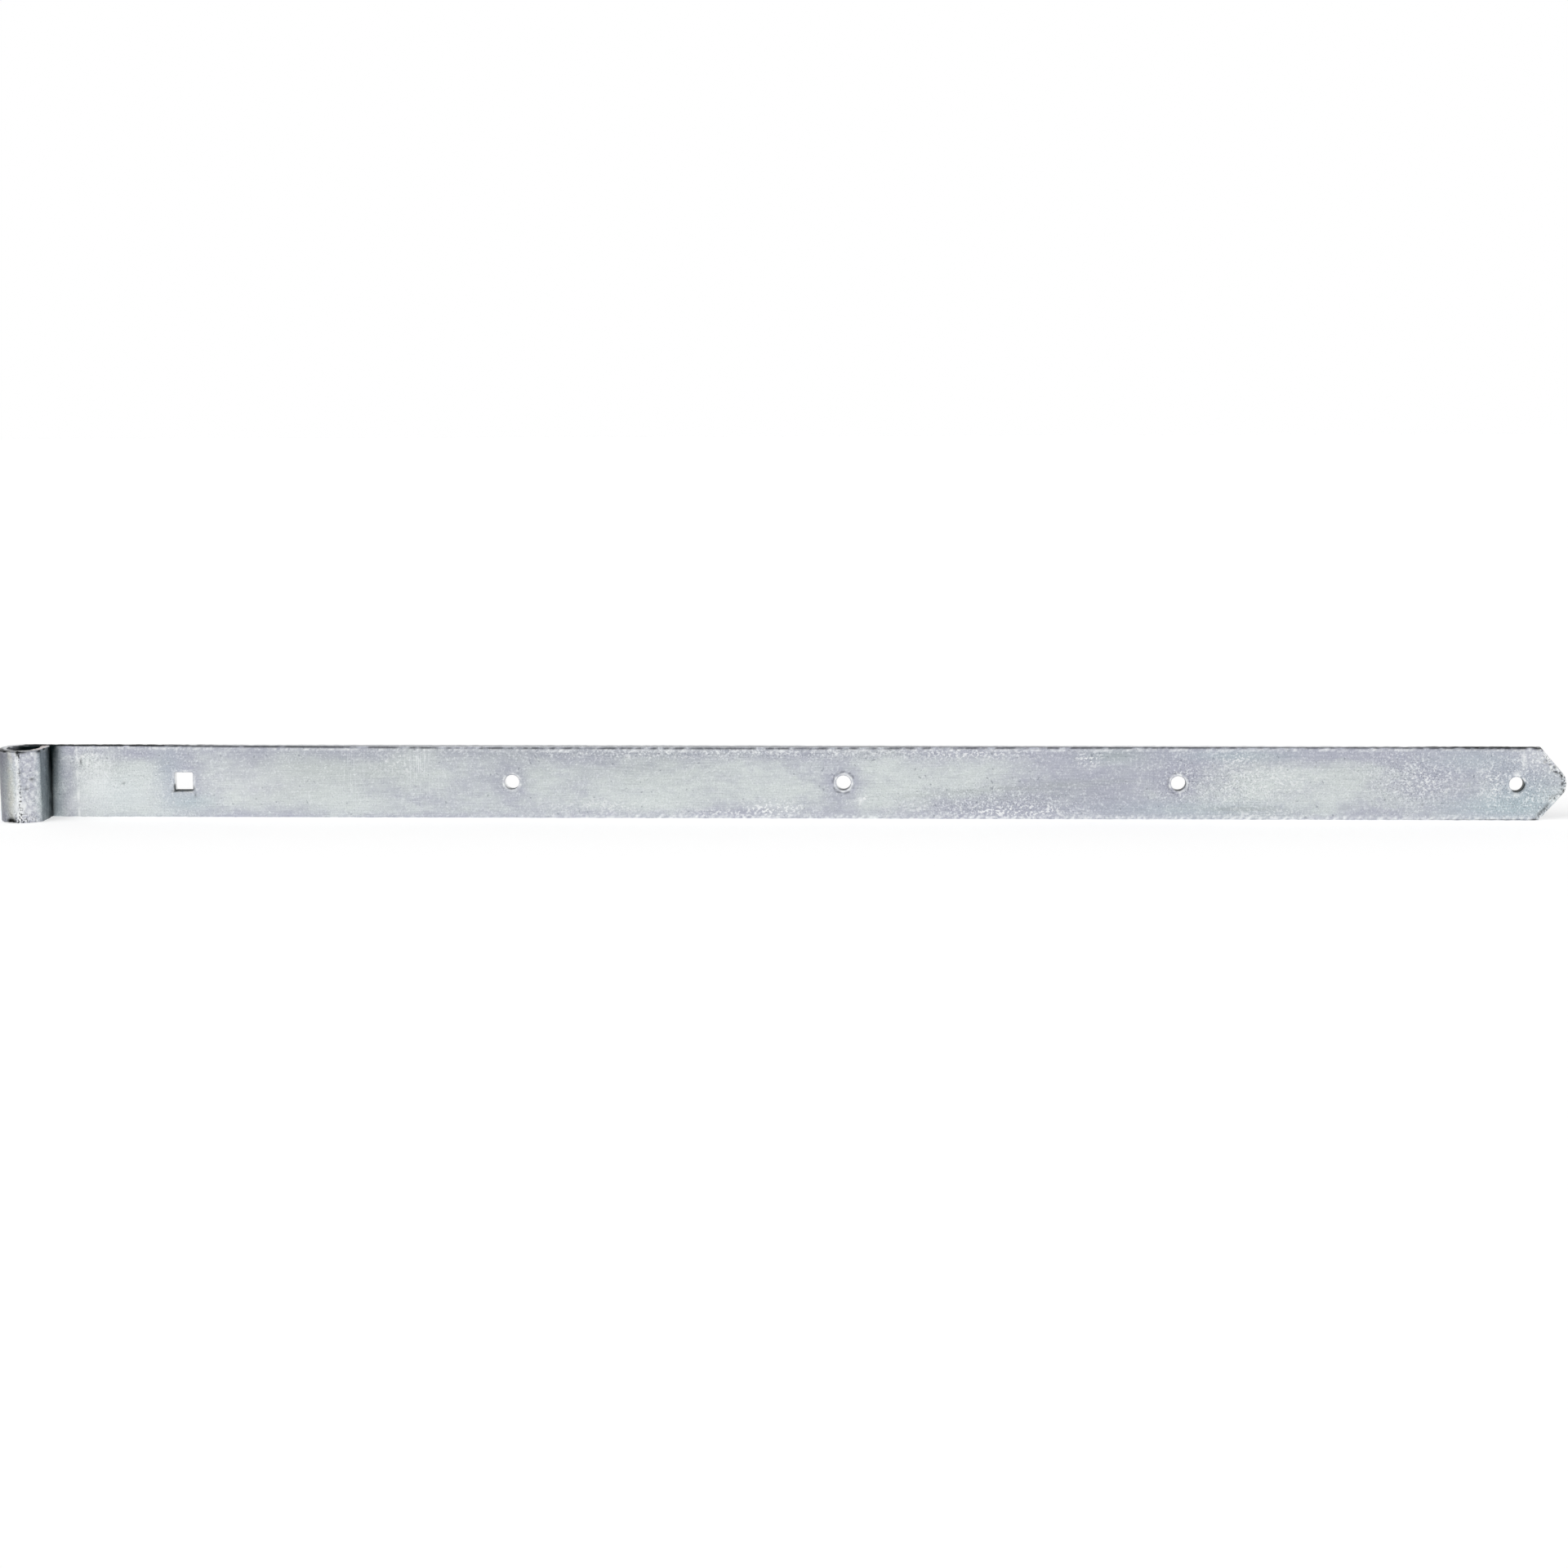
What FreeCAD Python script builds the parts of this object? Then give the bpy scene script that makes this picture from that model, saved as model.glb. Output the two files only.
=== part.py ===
import FreeCAD, Part
import math
import os

# The band of a hook and band hinge: one length of flat steel bar, rolled at one end
# into an eye that drops over the hook's pin, and cropped to a blunt point at the other.
# The last stretch of the roll stays straight, so it stands as a flat flank beside the
# eye, and its sheared end butts on the strap's face. One square hole takes the coach
# bolt next to the eye, and a row of round holes takes the other bolts.
#
# Sizes are in millimetres. The origin is on the eye's axis, half way up the strap.
# +X runs along the strap to the tip, +Z runs along the eye's axis, and the face
# that shows on a hung gate looks towards -Y.

# Flat bar
overall_length = 1067.0
strip_width = 50.0
strip_thickness = 6.0
strip_edge_r = 0.9

# Eye
eye_bore_r = 10.75
flank_press = 1.95
flank_lean_deg = 4.0
flank_crease_r = 3.0
seam_gap = 0.3

# Holes
square_hole_x = 107.5
square_hole_side = 12.4
square_corner_r = 0.8
bolt_hole_d = 9.8
bolt_hole_count = 4
last_hole_from_tip = 33.55
punched_rim = 0.35

# Tip
tip_cut_deg = 49.0
tip_nose_r = 11.5

# How far a cutting tool runs past what it cuts, and what counts as the same place
tool_overrun = 5.0
same_place = 0.001

# Worked out from the sizes above
eye_outer_r = eye_bore_r + strip_thickness
front_y = eye_bore_r
back_y = eye_outer_r
half_width = strip_width / 2
tip_x = overall_length - eye_outer_r
bolt_hole_pitch = (tip_x - last_hole_from_tip - square_hole_x) / bolt_hole_count
bolt_hole_xs = [square_hole_x + bolt_hole_pitch * step for step in range(1, bolt_hole_count + 1)]


def point(x, y, z=0.0):
    return FreeCAD.Vector(x, y, z)


def line(start, end):
    return Part.LineSegment(start, end).toShape()


def drawn_out(edges, direction):
    """Solid drawn out along a direction from edges that close into one outline."""
    outline = Part.Wire(Part.__sortEdges__(edges))
    return Part.Face(outline).extrude(direction)


def arc_about_eye(radius, start_deg, end_deg):
    """Arc round the eye's axis, counter-clockwise seen from +Z."""
    circle = Part.Circle(point(0, 0), point(0, 0, 1), radius)
    return Part.Arc(circle, math.radians(start_deg), math.radians(end_deg)).toShape()


def flank_point(distance, along):
    """Point of a line parallel to the flank, from its distance to the axis and its place along it."""
    lean = math.radians(flank_lean_deg)
    x = distance * math.cos(lean) + along * math.sin(lean)
    y = along * math.cos(lean) - distance * math.sin(lean)
    return point(x, y)


def degrees_round_eye(where):
    """Angle of a point about the eye's axis, for arcs that start at the strap and go round."""
    return math.degrees(math.atan2(where.y, where.x)) + 360


def rolled_strip():
    """The strip bent round the eye, drawn over its width from its section seen along Z."""
    flank_outer = eye_outer_r - flank_press
    flank_inner = eye_bore_r - flank_press
    lean = math.radians(flank_lean_deg)
    end_along = (front_y - seam_gap + flank_inner * math.sin(lean)) / math.cos(lean)
    crease = flank_point(flank_outer, -math.sqrt(eye_outer_r**2 - flank_outer**2))
    bore_end = flank_point(flank_inner, math.sqrt(eye_bore_r**2 - flank_inner**2))
    end_outer = flank_point(flank_outer, end_along)
    end_inner = flank_point(flank_inner, end_along)
    section = [
        line(point(tip_x, front_y), point(tip_x, back_y)),
        line(point(tip_x, back_y), point(0, back_y)),
        arc_about_eye(eye_outer_r, 90, degrees_round_eye(crease)),
        line(crease, end_outer),
        line(end_outer, end_inner),
        line(end_inner, bore_end),
        arc_about_eye(eye_bore_r, 90, degrees_round_eye(bore_end)),
        line(point(0, front_y), point(tip_x, front_y)),
    ]
    strip = drawn_out(section, point(0, 0, strip_width))
    strip.translate(point(0, 0, -half_width))
    return strip.makeFillet(flank_crease_r, edges_standing_on(strip, crease))


def edges_standing_on(solid, where):
    """The edges along Z that stand over one point of the section."""
    found = []
    for edge in solid.Edges:
        middle = edge.BoundBox.Center
        if math.hypot(middle.x - where.x, middle.y - where.y) < same_place:
            found.append(edge)
    return found


def tip_shape():
    """The strap seen from its face, with two straight cuts and a round nose, drawn through it."""
    cut = math.radians(tip_cut_deg)
    tangent_x = tip_x - tip_nose_r + tip_nose_r * math.sin(cut)
    tangent_z = tip_nose_r * math.cos(cut)
    shoulder_x = tangent_x - (half_width - tangent_z) / math.tan(cut)
    clear_of_eye = eye_outer_r + tool_overrun
    corners = [
        point(tangent_x, -clear_of_eye, tangent_z),
        point(shoulder_x, -clear_of_eye, half_width),
        point(-clear_of_eye, -clear_of_eye, half_width),
        point(-clear_of_eye, -clear_of_eye, -half_width),
        point(shoulder_x, -clear_of_eye, -half_width),
        point(tangent_x, -clear_of_eye, -tangent_z),
    ]
    sides = [line(start, end) for start, end in zip(corners, corners[1:])]
    nose = Part.Arc(corners[-1], point(tip_x, -clear_of_eye), corners[0]).toShape()
    return drawn_out(sides + [nose], point(0, 2 * clear_of_eye, 0))


def rounded_outline(strip):
    """Rounds the strip's outline on both faces: every edge but those straight along Y or Z."""
    outline = [edge for edge in strip.Edges if edge.BoundBox.XLength > same_place]
    return strip.makeFillet(strip_edge_r, outline)


def bolt_punch(x):
    """Round punch through the strap at one place."""
    start = point(x, front_y - tool_overrun)
    return Part.makeCylinder(bolt_hole_d / 2, strip_thickness + 2 * tool_overrun, start, point(0, 1, 0))


def square_punch():
    """Square punch for the coach bolt's neck, with its corners slightly worn."""
    half = square_hole_side / 2
    length = strip_thickness + 2 * tool_overrun
    corner = point(square_hole_x - half, front_y - tool_overrun, -half)
    punch = Part.makeBox(square_hole_side, length, square_hole_side, corner)
    long_edges = [edge for edge in punch.Edges if abs(edge.Length - length) < same_place]
    return punch.makeFillet(square_corner_r, long_edges)


def eased_rims(strip):
    """Breaks the rims that the punches leave on both faces of the strap."""
    rims = []
    for edge in strip.Edges:
        box = edge.BoundBox
        on_a_face = box.YLength < same_place
        beside_middle = max(-box.ZMin, box.ZMax) < square_hole_side
        between_ends = eye_outer_r < box.XMin and box.XMax < tip_x - tip_nose_r
        if on_a_face and beside_middle and between_ends:
            rims.append(edge)
    return strip.makeChamfer(punched_rim, rims)


def band():
    strip = rounded_outline(rolled_strip().common(tip_shape()))
    for punch in [square_punch()] + [bolt_punch(x) for x in bolt_hole_xs]:
        strip = strip.cut(punch)
    return eased_rims(strip)


os.makedirs("parts", exist_ok=True)
shape = band()
shape.exportStep("parts/band.step")
print("band: valid", shape.isValid(), "solids", len(shape.Solids), "volume mm3", round(shape.Volume))
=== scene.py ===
"""The band of a hook and band hinge, dressed in hot-dip galvanised steel.

The CAD band gives the frame and the size. One detailed piece stands for it: the flat bar with
its rolled eye, sheared seam, punched holes, cropped tip and the uneven skin that the zinc bath
leaves. A plain pale floor, soft studio light and the photograph's camera finish the scene.
Lengths are written in millimetres, in the frame of the CAD, and turned into metres once.
"""

import logging
from dataclasses import dataclass, field
from enum import Enum

import bmesh
import bpy
import numpy as np
from mathutils import Matrix, Vector

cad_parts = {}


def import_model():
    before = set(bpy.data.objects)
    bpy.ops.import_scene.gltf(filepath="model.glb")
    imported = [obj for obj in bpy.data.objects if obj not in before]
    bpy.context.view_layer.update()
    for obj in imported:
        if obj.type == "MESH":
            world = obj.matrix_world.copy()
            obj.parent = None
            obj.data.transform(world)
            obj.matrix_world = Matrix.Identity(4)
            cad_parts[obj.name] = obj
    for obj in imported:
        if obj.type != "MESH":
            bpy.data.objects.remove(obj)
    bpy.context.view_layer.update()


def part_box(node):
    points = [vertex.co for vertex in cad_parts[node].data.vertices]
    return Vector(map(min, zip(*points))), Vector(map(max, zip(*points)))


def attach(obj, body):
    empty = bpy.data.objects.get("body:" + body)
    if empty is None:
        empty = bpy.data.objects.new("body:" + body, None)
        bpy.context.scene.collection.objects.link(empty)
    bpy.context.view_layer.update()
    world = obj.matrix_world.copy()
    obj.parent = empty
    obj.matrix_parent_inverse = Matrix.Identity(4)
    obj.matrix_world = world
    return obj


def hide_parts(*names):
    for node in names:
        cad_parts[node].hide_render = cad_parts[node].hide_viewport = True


logging.basicConfig(level=logging.INFO, format="%(name)s: %(message)s")
log = logging.getLogger("band")

MM = 0.001

# Distances in millimetres by which points are told apart: how deep the skin still counts as the
# strap's face, how near a hole's outline its wall lies, and how far outside it the lip stands.
SKIN_DEPTH = 0.8
WALL = 0.15
LIP_INSET = 1.1


class HoleKind(Enum):
    """The two punches that went through the strap."""

    SQUARE = "square"
    ROUND = "round"


class Layer(Enum):
    """Strengths that the mesh carries at its points, which tell the finish what shows where."""

    BLOOM = "bloom"
    COOL = "cool"
    WARM = "warm"
    DULL = "dull"
    # Painted shade round the eye: down its left side and at its crease.
    PAINTED_EYE_SHADE = "painted_eye_shade"
    SPRAY = "spray"
    SPECKLE = "speckle"
    SCRATCH = "scratch"
    # Bright zinc, and painted highlights on the eye, the top edge and the holes' walls.
    BRIGHT = "bright"
    # Dark steel, and a painted dark reflection along the top edge and the eye's top rim.
    LINE = "line"
    PITTED = "pitted"
    FRESH = "fresh"
    # Painted shade in the bore, at the seam and in the holes.
    PAINTED_SHADE = "painted_shade"


@dataclass(frozen=True)
class Hole:
    """A punched hole on the strap's middle line.

    Args:
        kind: Which punch made it.
        x: Its place along the strap, in millimetres.
        half: Half its width.
        shade: How strong the painted shade on its wall and at the foot of its rim is, from 0 to 1.
        worn_r: Radius of a square hole's worn corners.
    """

    kind: HoleKind
    x: float
    half: float
    shade: float
    worn_r: float = 0.8

    @property
    def corner_r(self) -> float:
        """Radius of its corners, which is half the width of a round hole."""
        return self.half if self.kind is HoleKind.ROUND else self.worn_r

    def rim(self, along: np.ndarray, side: np.ndarray) -> tuple[np.ndarray, np.ndarray]:
        """Walks round the hole's outline, side by side.

        Each side runs straight up to its corners and turns round half of each corner's arc. A
        round hole is the case in which the straight run has no length.

        Args:
            along: Place on the side, from -1 at one corner's middle to 1 at the next.
            side: Number of the side, each a quarter turn further on.

        Returns:
            Points about the hole's centre and directions away from it, both as x and z.
        """
        straight = self.half - self.corner_r
        walked = along * (straight + self.corner_r * np.pi / 4)
        past = np.clip(np.abs(walked) - straight, 0, None) * np.sign(walked)
        turn = past / self.corner_r
        away = np.stack([np.cos(turn), np.sin(turn)], axis=-1)
        middle = np.stack([np.full_like(walked, straight), np.clip(walked, -straight, straight)], axis=-1)
        quarter = side * np.pi / 2
        return turned(middle + away * self.corner_r, quarter), turned(away, quarter)

    def distance(self, x: np.ndarray, z: np.ndarray) -> np.ndarray:
        """Distance from the hole's outline over the face.

        It is the distance from the outline's inner rectangle, drawn in by the corners' radius on
        every side, less that radius.

        Args:
            x: Places along the strap.
            z: Heights over the middle line.

        Returns:
            The distance at each place, negative inside the hole.
        """
        straight = self.half - self.corner_r
        beyond_x = np.abs(x - self.x) - straight
        beyond_z = np.abs(z) - straight
        outside = np.hypot(np.clip(beyond_x, 0, None), np.clip(beyond_z, 0, None))
        return outside + np.minimum(np.maximum(beyond_x, beyond_z), 0) - self.corner_r


def turned(vectors: np.ndarray, angle: np.ndarray) -> np.ndarray:
    """Turns pairs counter-clockwise.

    Args:
        vectors: The pairs.
        angle: The turn of each.

    Returns:
        The turned pairs.
    """
    cos, sin = np.cos(angle), np.sin(angle)
    first = vectors[..., 0] * cos - vectors[..., 1] * sin
    second = vectors[..., 0] * sin + vectors[..., 1] * cos
    return np.stack([first, second], axis=-1)


@dataclass(frozen=True)
class BandSizes:
    """Sizes of the band in millimetres, the same as in the solid's source.

    Args:
        tip_x: Place of the tip's nose.
        half_width: Half the bar's width.
        thickness: The bar's thickness.
        edge_r: Radius of its long edges.
        bore_r: Radius of the eye's bore.
        flank_press: How far the flank is pressed in from the eye's circle.
        flank_lean: The flank's lean from square to the strap.
        crease_r: Radius of the crease between the eye's circle and the flank.
        seam_gap: Gap between the sheared end and the strap.
        tip_cut: The angle of the tip's cuts to the bar.
        nose_r: Radius of the tip's nose.
        rim_r: Radius of the lips round the punched holes.
        holes: The punched holes, from the eye to the tip.
    """

    tip_x: float = 1050.25
    half_width: float = 25.0
    thickness: float = 6.0
    edge_r: float = 0.9
    bore_r: float = 10.75
    flank_press: float = 1.95
    flank_lean: float = np.radians(4.0)
    crease_r: float = 3.0
    seam_gap: float = 0.3
    tip_cut: float = np.radians(49.0)
    nose_r: float = 11.5
    rim_r: float = 0.45
    holes: tuple[Hole, ...] = (
        Hole(HoleKind.SQUARE, 107.5, 6.2, 0.9),
        Hole(HoleKind.ROUND, 334.8, 4.9, 0.3),
        Hole(HoleKind.ROUND, 562.1, 4.9, 0.4),
        Hole(HoleKind.ROUND, 789.4, 4.9, 0.5),
        Hole(HoleKind.ROUND, 1016.7, 4.9, 1.0),
    )

    @property
    def outer_r(self) -> float:
        """Outer radius of the eye."""
        return self.bore_r + self.thickness

    @property
    def flank_outer(self) -> float:
        """Distance of the flank's outer face from the eye's axis."""
        return self.outer_r - self.flank_press

    @property
    def flank_inner(self) -> float:
        """Distance of the flank's inner face from the eye's axis."""
        return self.bore_r - self.flank_press

    @property
    def flank_start(self) -> float:
        """Where the round gives way to the crease, one and a half thicknesses before the axis."""
        return -1.5 * self.thickness

    @property
    def seam_y(self) -> float:
        """Place of the middle of the seam's gap, behind the axis."""
        return self.bore_r - self.seam_gap / 2


@dataclass
class Skin:
    """A mesh that grows from sheets of points, which share the points where they meet.

    Args:
        points: The points of each sheet.
        quads: The point numbers of each sheet's faces.
        count: How many points there are.
    """

    points: list[np.ndarray] = field(default_factory=list)
    quads: list[np.ndarray] = field(default_factory=list)
    count: int = 0

    def place(self, points: np.ndarray) -> np.ndarray:
        """Adds a sheet of points.

        Args:
            points: The points, row by row.

        Returns:
            Their numbers in the mesh, in the same layout.
        """
        flat = points.reshape(-1, 3)
        numbers = np.arange(self.count, self.count + len(flat)).reshape(points.shape[:-1])
        self.points.append(flat)
        self.count += len(flat)
        return numbers

    def cover(self, sheet: np.ndarray, keep: np.ndarray | None = None) -> None:
        """Adds a four-sided face in each cell of a sheet of point numbers, or in those kept."""
        corners = np.stack([sheet[:-1, :-1], sheet[1:, :-1], sheet[1:, 1:], sheet[:-1, 1:]], axis=-1)
        self.quads.append(corners.reshape(-1, 4) if keep is None else corners[keep])

    def finished(self) -> tuple[np.ndarray, np.ndarray, np.ndarray]:
        """Leaves out unused points, and splits the faces that close to a point.

        Returns:
            The points, the four-sided faces and the three-sided faces.
        """
        quads = np.concatenate(self.quads)
        used, quads = np.unique(quads, return_inverse=True)
        quads = quads.reshape(-1, 4)
        first_closed = quads[:, 0] == quads[:, 3]
        second_closed = quads[:, 1] == quads[:, 2]
        whole = quads[~first_closed & ~second_closed]
        triangles = np.concatenate([
            quads[first_closed & ~second_closed][:, :3],
            quads[second_closed & ~first_closed][:, [0, 1, 3]],
        ])
        return np.concatenate(self.points)[used], whole, triangles


def waves(points: np.ndarray, wavelength: float, seed: int, count: int = 28) -> np.ndarray:
    """Smooth noise of place: the sum of plane sine waves in random directions.

    Args:
        points: Places in millimetres.
        wavelength: The middle of the wavelengths, which spread by a third either way.
        seed: Seed of the directions and phases.
        count: How many waves are added.

    Returns:
        Values about 0, mostly between -2 and 2.
    """
    rng = np.random.default_rng(seed)
    directions = rng.normal(size=(count, 3))
    directions /= np.linalg.norm(directions, axis=1, keepdims=True)
    directions *= (2 * np.pi / (wavelength * rng.uniform(0.67, 1.33, size=(count, 1))))
    phases = rng.uniform(0, 2 * np.pi, size=count)
    return np.sin(points @ directions.T + phases).sum(axis=1) * np.sqrt(2 / count)


def bell(distance: np.ndarray, width: float | np.ndarray) -> np.ndarray:
    """A soft hump of height 1 that fades over a width."""
    return np.exp(-((distance / width) ** 2))


def ramp(values: np.ndarray, start: float, full: float) -> np.ndarray:
    """0 up to where values start, 1 from where they are full, and a straight rise between."""
    return np.clip((values - start) / (full - start), 0, 1)


@dataclass(frozen=True)
class Spot:
    """A place on the front face, with the reach of what marks it.

    Args:
        x: Place along the strap.
        z: Height over the middle line.
        reach_x: Half length.
        reach_z: Half height.
        amount: How strong it is.
    """

    x: float
    z: float
    reach_x: float
    reach_z: float
    amount: float

    def over(self, points: np.ndarray) -> np.ndarray:
        """Strength of the spot at points, as a soft hump."""
        away = ((points[:, 0] - self.x) / self.reach_x) ** 2 + ((points[:, 2] - self.z) / self.reach_z) ** 2
        return self.amount * np.exp(-away)


def spots(*rows: tuple[float, float, float, float, float]) -> tuple[Spot, ...]:
    """Makes spots from rows of place, height, half length, half height and strength."""
    return tuple(Spot(*row) for row in rows)


def total(marks: tuple[Spot, ...], points: np.ndarray) -> np.ndarray:
    """Adds up the strengths of spots at points."""
    return sum(spot.over(points) for spot in marks)


@dataclass(frozen=True)
class BarPath:
    """The strip's section seen along Z: where its inner and outer faces run, station by station.

    Args:
        sizes: The band's sizes.
        eye_cells: How many cells the mesh has round the eye.
    """

    sizes: BandSizes
    eye_cells: int = 116

    def flank_line(self, distance: float, along: np.ndarray) -> np.ndarray:
        """Points of a line parallel to the flank.

        Args:
            distance: The line's distance from the eye's axis.
            along: Places along it, from the foot of the perpendicular.

        Returns:
            The points, as x and y.
        """
        lean = self.sizes.flank_lean
        x = distance * np.cos(lean) + along * np.sin(lean)
        y = along * np.cos(lean) - distance * np.sin(lean)
        return np.stack([x, y], axis=-1)

    def sheared_end(self) -> float:
        """Place of the sheared end along the flank, just short of the strap's face."""
        sizes, lean = self.sizes, self.sizes.flank_lean
        return (sizes.bore_r - sizes.seam_gap + sizes.flank_inner * np.sin(lean)) / np.cos(lean)

    def eye(self) -> tuple[np.ndarray, np.ndarray]:
        """Inner and outer face of the eye, from the sheared end to the start of the strap.

        The outer face is the flank's straight line, the crease's small arc and the big arc. The
        inner face is the flank's line and the bore's arc. Both are laid out finely and then
        divided evenly by their length.

        Returns:
            The points of the inner face and those of the outer one, as x and y.
        """
        sizes = self.sizes
        lean = sizes.flank_lean
        fine = np.linspace(0, 1, 400)
        end = self.sheared_end()
        to_crease = sizes.outer_r - sizes.crease_r
        crease_across = sizes.flank_outer - sizes.crease_r
        crease_along = -np.sqrt(to_crease**2 - crease_across**2)
        crease_centre = self.flank_line(crease_across, np.array(crease_along))
        crease_turn = np.arccos(crease_across / to_crease)
        crease = -lean - crease_turn * fine
        big_start = 2 * np.pi - lean - crease_turn
        big = big_start + (np.pi / 2 - big_start) * fine
        outer = np.concatenate([
            self.flank_line(sizes.flank_outer, end + (crease_along - end) * fine),
            crease_centre + sizes.crease_r * np.stack([np.cos(crease), np.sin(crease)], axis=-1),
            sizes.outer_r * np.stack([np.cos(big), np.sin(big)], axis=-1),
        ])
        bore_along = np.sqrt(sizes.bore_r**2 - sizes.flank_inner**2)
        bore_start = 2 * np.pi - lean + np.arccos(sizes.flank_inner / sizes.bore_r)
        bore = bore_start + (np.pi / 2 - bore_start) * fine
        inner = np.concatenate([
            self.flank_line(sizes.flank_inner, end + (bore_along - end) * fine),
            sizes.bore_r * np.stack([np.cos(bore), np.sin(bore)], axis=-1),
        ])
        return self.evenly(inner), self.evenly(outer)

    def evenly(self, line: np.ndarray) -> np.ndarray:
        """Divides a line of points into equal lengths, one for each cell round the eye.

        Args:
            line: The points, as x and y.

        Returns:
            The points between the lengths.
        """
        steps = np.linalg.norm(np.diff(line, axis=0), axis=1)
        run = np.concatenate([[0], np.cumsum(steps)])
        wanted = np.linspace(0, run[-1], self.eye_cells + 1)
        return np.stack([np.interp(wanted, run, line[:, axis]) for axis in (0, 1)], axis=-1)


@dataclass(frozen=True)
class Stations:
    """Cross lines of the strap from the eye to the tip, in the plan of the front face.

    Args:
        x: Place of each line.
        half: Half its length, inside the rounded edge.
        lean_x: The edge's outward direction there, along the strap.
        lean_z: The same across the strap.
        squares: For each hole, the number of the first line of its square of cells.
    """

    x: np.ndarray
    half: np.ndarray
    lean_x: np.ndarray
    lean_z: np.ndarray
    squares: tuple[int, ...]


@dataclass(frozen=True)
class StrapPlan:
    """Divides the strap's plan into cells of one size, in step with its holes and tip.

    Args:
        sizes: The band's sizes.
        cells_across: How many cells lie across the strap.
        square_cells: Half the side, in cells, of the square kept free round each hole.
        nose_cells: How many cells lie along half the nose.
        draw_in: How much the outer cells draw together towards the edges.
    """

    sizes: BandSizes
    cells_across: int = 36
    square_cells: int = 9
    nose_cells: int = 12
    draw_in: float = 0.48

    @property
    def cell(self) -> float:
        """Side of a cell."""
        return 2 * (self.sizes.half_width - self.sizes.edge_r) / self.cells_across

    def across(self) -> np.ndarray:
        """Places of the long lines across the strap, from -1 to 1.

        They are even over the holes' squares, and outside them draw together towards the edges by
        a parabola, because the marks there are the finest.

        Returns:
            The places, from the bottom up.
        """
        outer = self.cells_across // 2 - self.square_cells
        inner_part = 2 * self.square_cells / self.cells_across
        step = np.linspace(0, 1, outer + 1)[1:]
        upper = inner_part + (1 - inner_part) * (step + self.draw_in * step * (1 - step))
        inner = np.linspace(-inner_part, inner_part, 2 * self.square_cells + 1)
        return np.concatenate([-upper[::-1], inner, upper])

    def straight(self, end: float) -> tuple[np.ndarray, tuple[int, ...]]:
        """Lays out the cross lines of the straight part, in step with the squares round the holes.

        Each stretch between two squares is divided evenly into cells as near to square as can be.

        Args:
            end: Where the straight part ends.

        Returns:
            The lines' places, and for each hole the number of the first line of its square.
        """
        reach = self.square_cells * self.cell
        stops = [0.0]
        for hole in self.sizes.holes:
            stops += [hole.x - reach, hole.x + reach]
        stops.append(end)
        places, squares, lines = [np.array([0.0])], [], 0
        for number, (start, stop) in enumerate(zip(stops, stops[1:])):
            cells = max(1, round((stop - start) / self.cell))
            if number % 2:
                squares.append(lines)
                cells = 2 * self.square_cells
            places.append(np.linspace(start, stop, cells + 1)[1:])
            lines += cells
        return np.concatenate(places), tuple(squares)

    def stations(self) -> Stations:
        """Lays out all cross lines.

        They divide the straight part up to the shoulders, then the cuts evenly, and then the nose
        by equal turns. The cuts and the nose are the tip's outline drawn in by the edge's radius.

        Returns:
            The cross lines.
        """
        sizes, cut = self.sizes, self.sizes.tip_cut
        inside = sizes.half_width - sizes.edge_r
        centre = sizes.tip_x - sizes.nose_r
        tangent_x = centre + sizes.nose_r * np.sin(cut)
        tangent_z = sizes.nose_r * np.cos(cut)
        shoulder = tangent_x - (sizes.half_width - tangent_z) / np.tan(cut)
        shoulder_inside = shoulder - sizes.edge_r * np.tan(cut / 2)
        straight, squares = self.straight(shoulder_inside)
        inner_r = sizes.nose_r - sizes.edge_r
        cut_end = centre + inner_r * np.sin(cut)
        cut_cells = round((cut_end - shoulder_inside) / np.cos(cut) / self.cell)
        part = np.linspace(0, 1, cut_cells + 1)[1:]
        cut_x = shoulder_inside + (cut_end - shoulder_inside) * part
        cut_z = inside + (inner_r * np.cos(cut) - inside) * part
        nose = (np.pi / 2 - cut) * (1 - np.linspace(0, 1, self.nose_cells + 1)[1:])
        x = np.concatenate([straight, cut_x, centre + inner_r * np.cos(nose)])
        half = np.concatenate([np.full_like(straight, inside), cut_z, inner_r * np.sin(nose)])
        lean_x = np.concatenate([np.zeros_like(straight), np.full_like(cut_x, np.sin(cut)), np.cos(nose)])
        lean_z = np.concatenate([np.ones_like(straight), np.full_like(cut_x, np.cos(cut)), np.sin(nose)])
        lean_x[len(straight) - 1] = np.tan(cut / 2)
        return Stations(x, half, lean_x, lean_z, squares)


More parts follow.
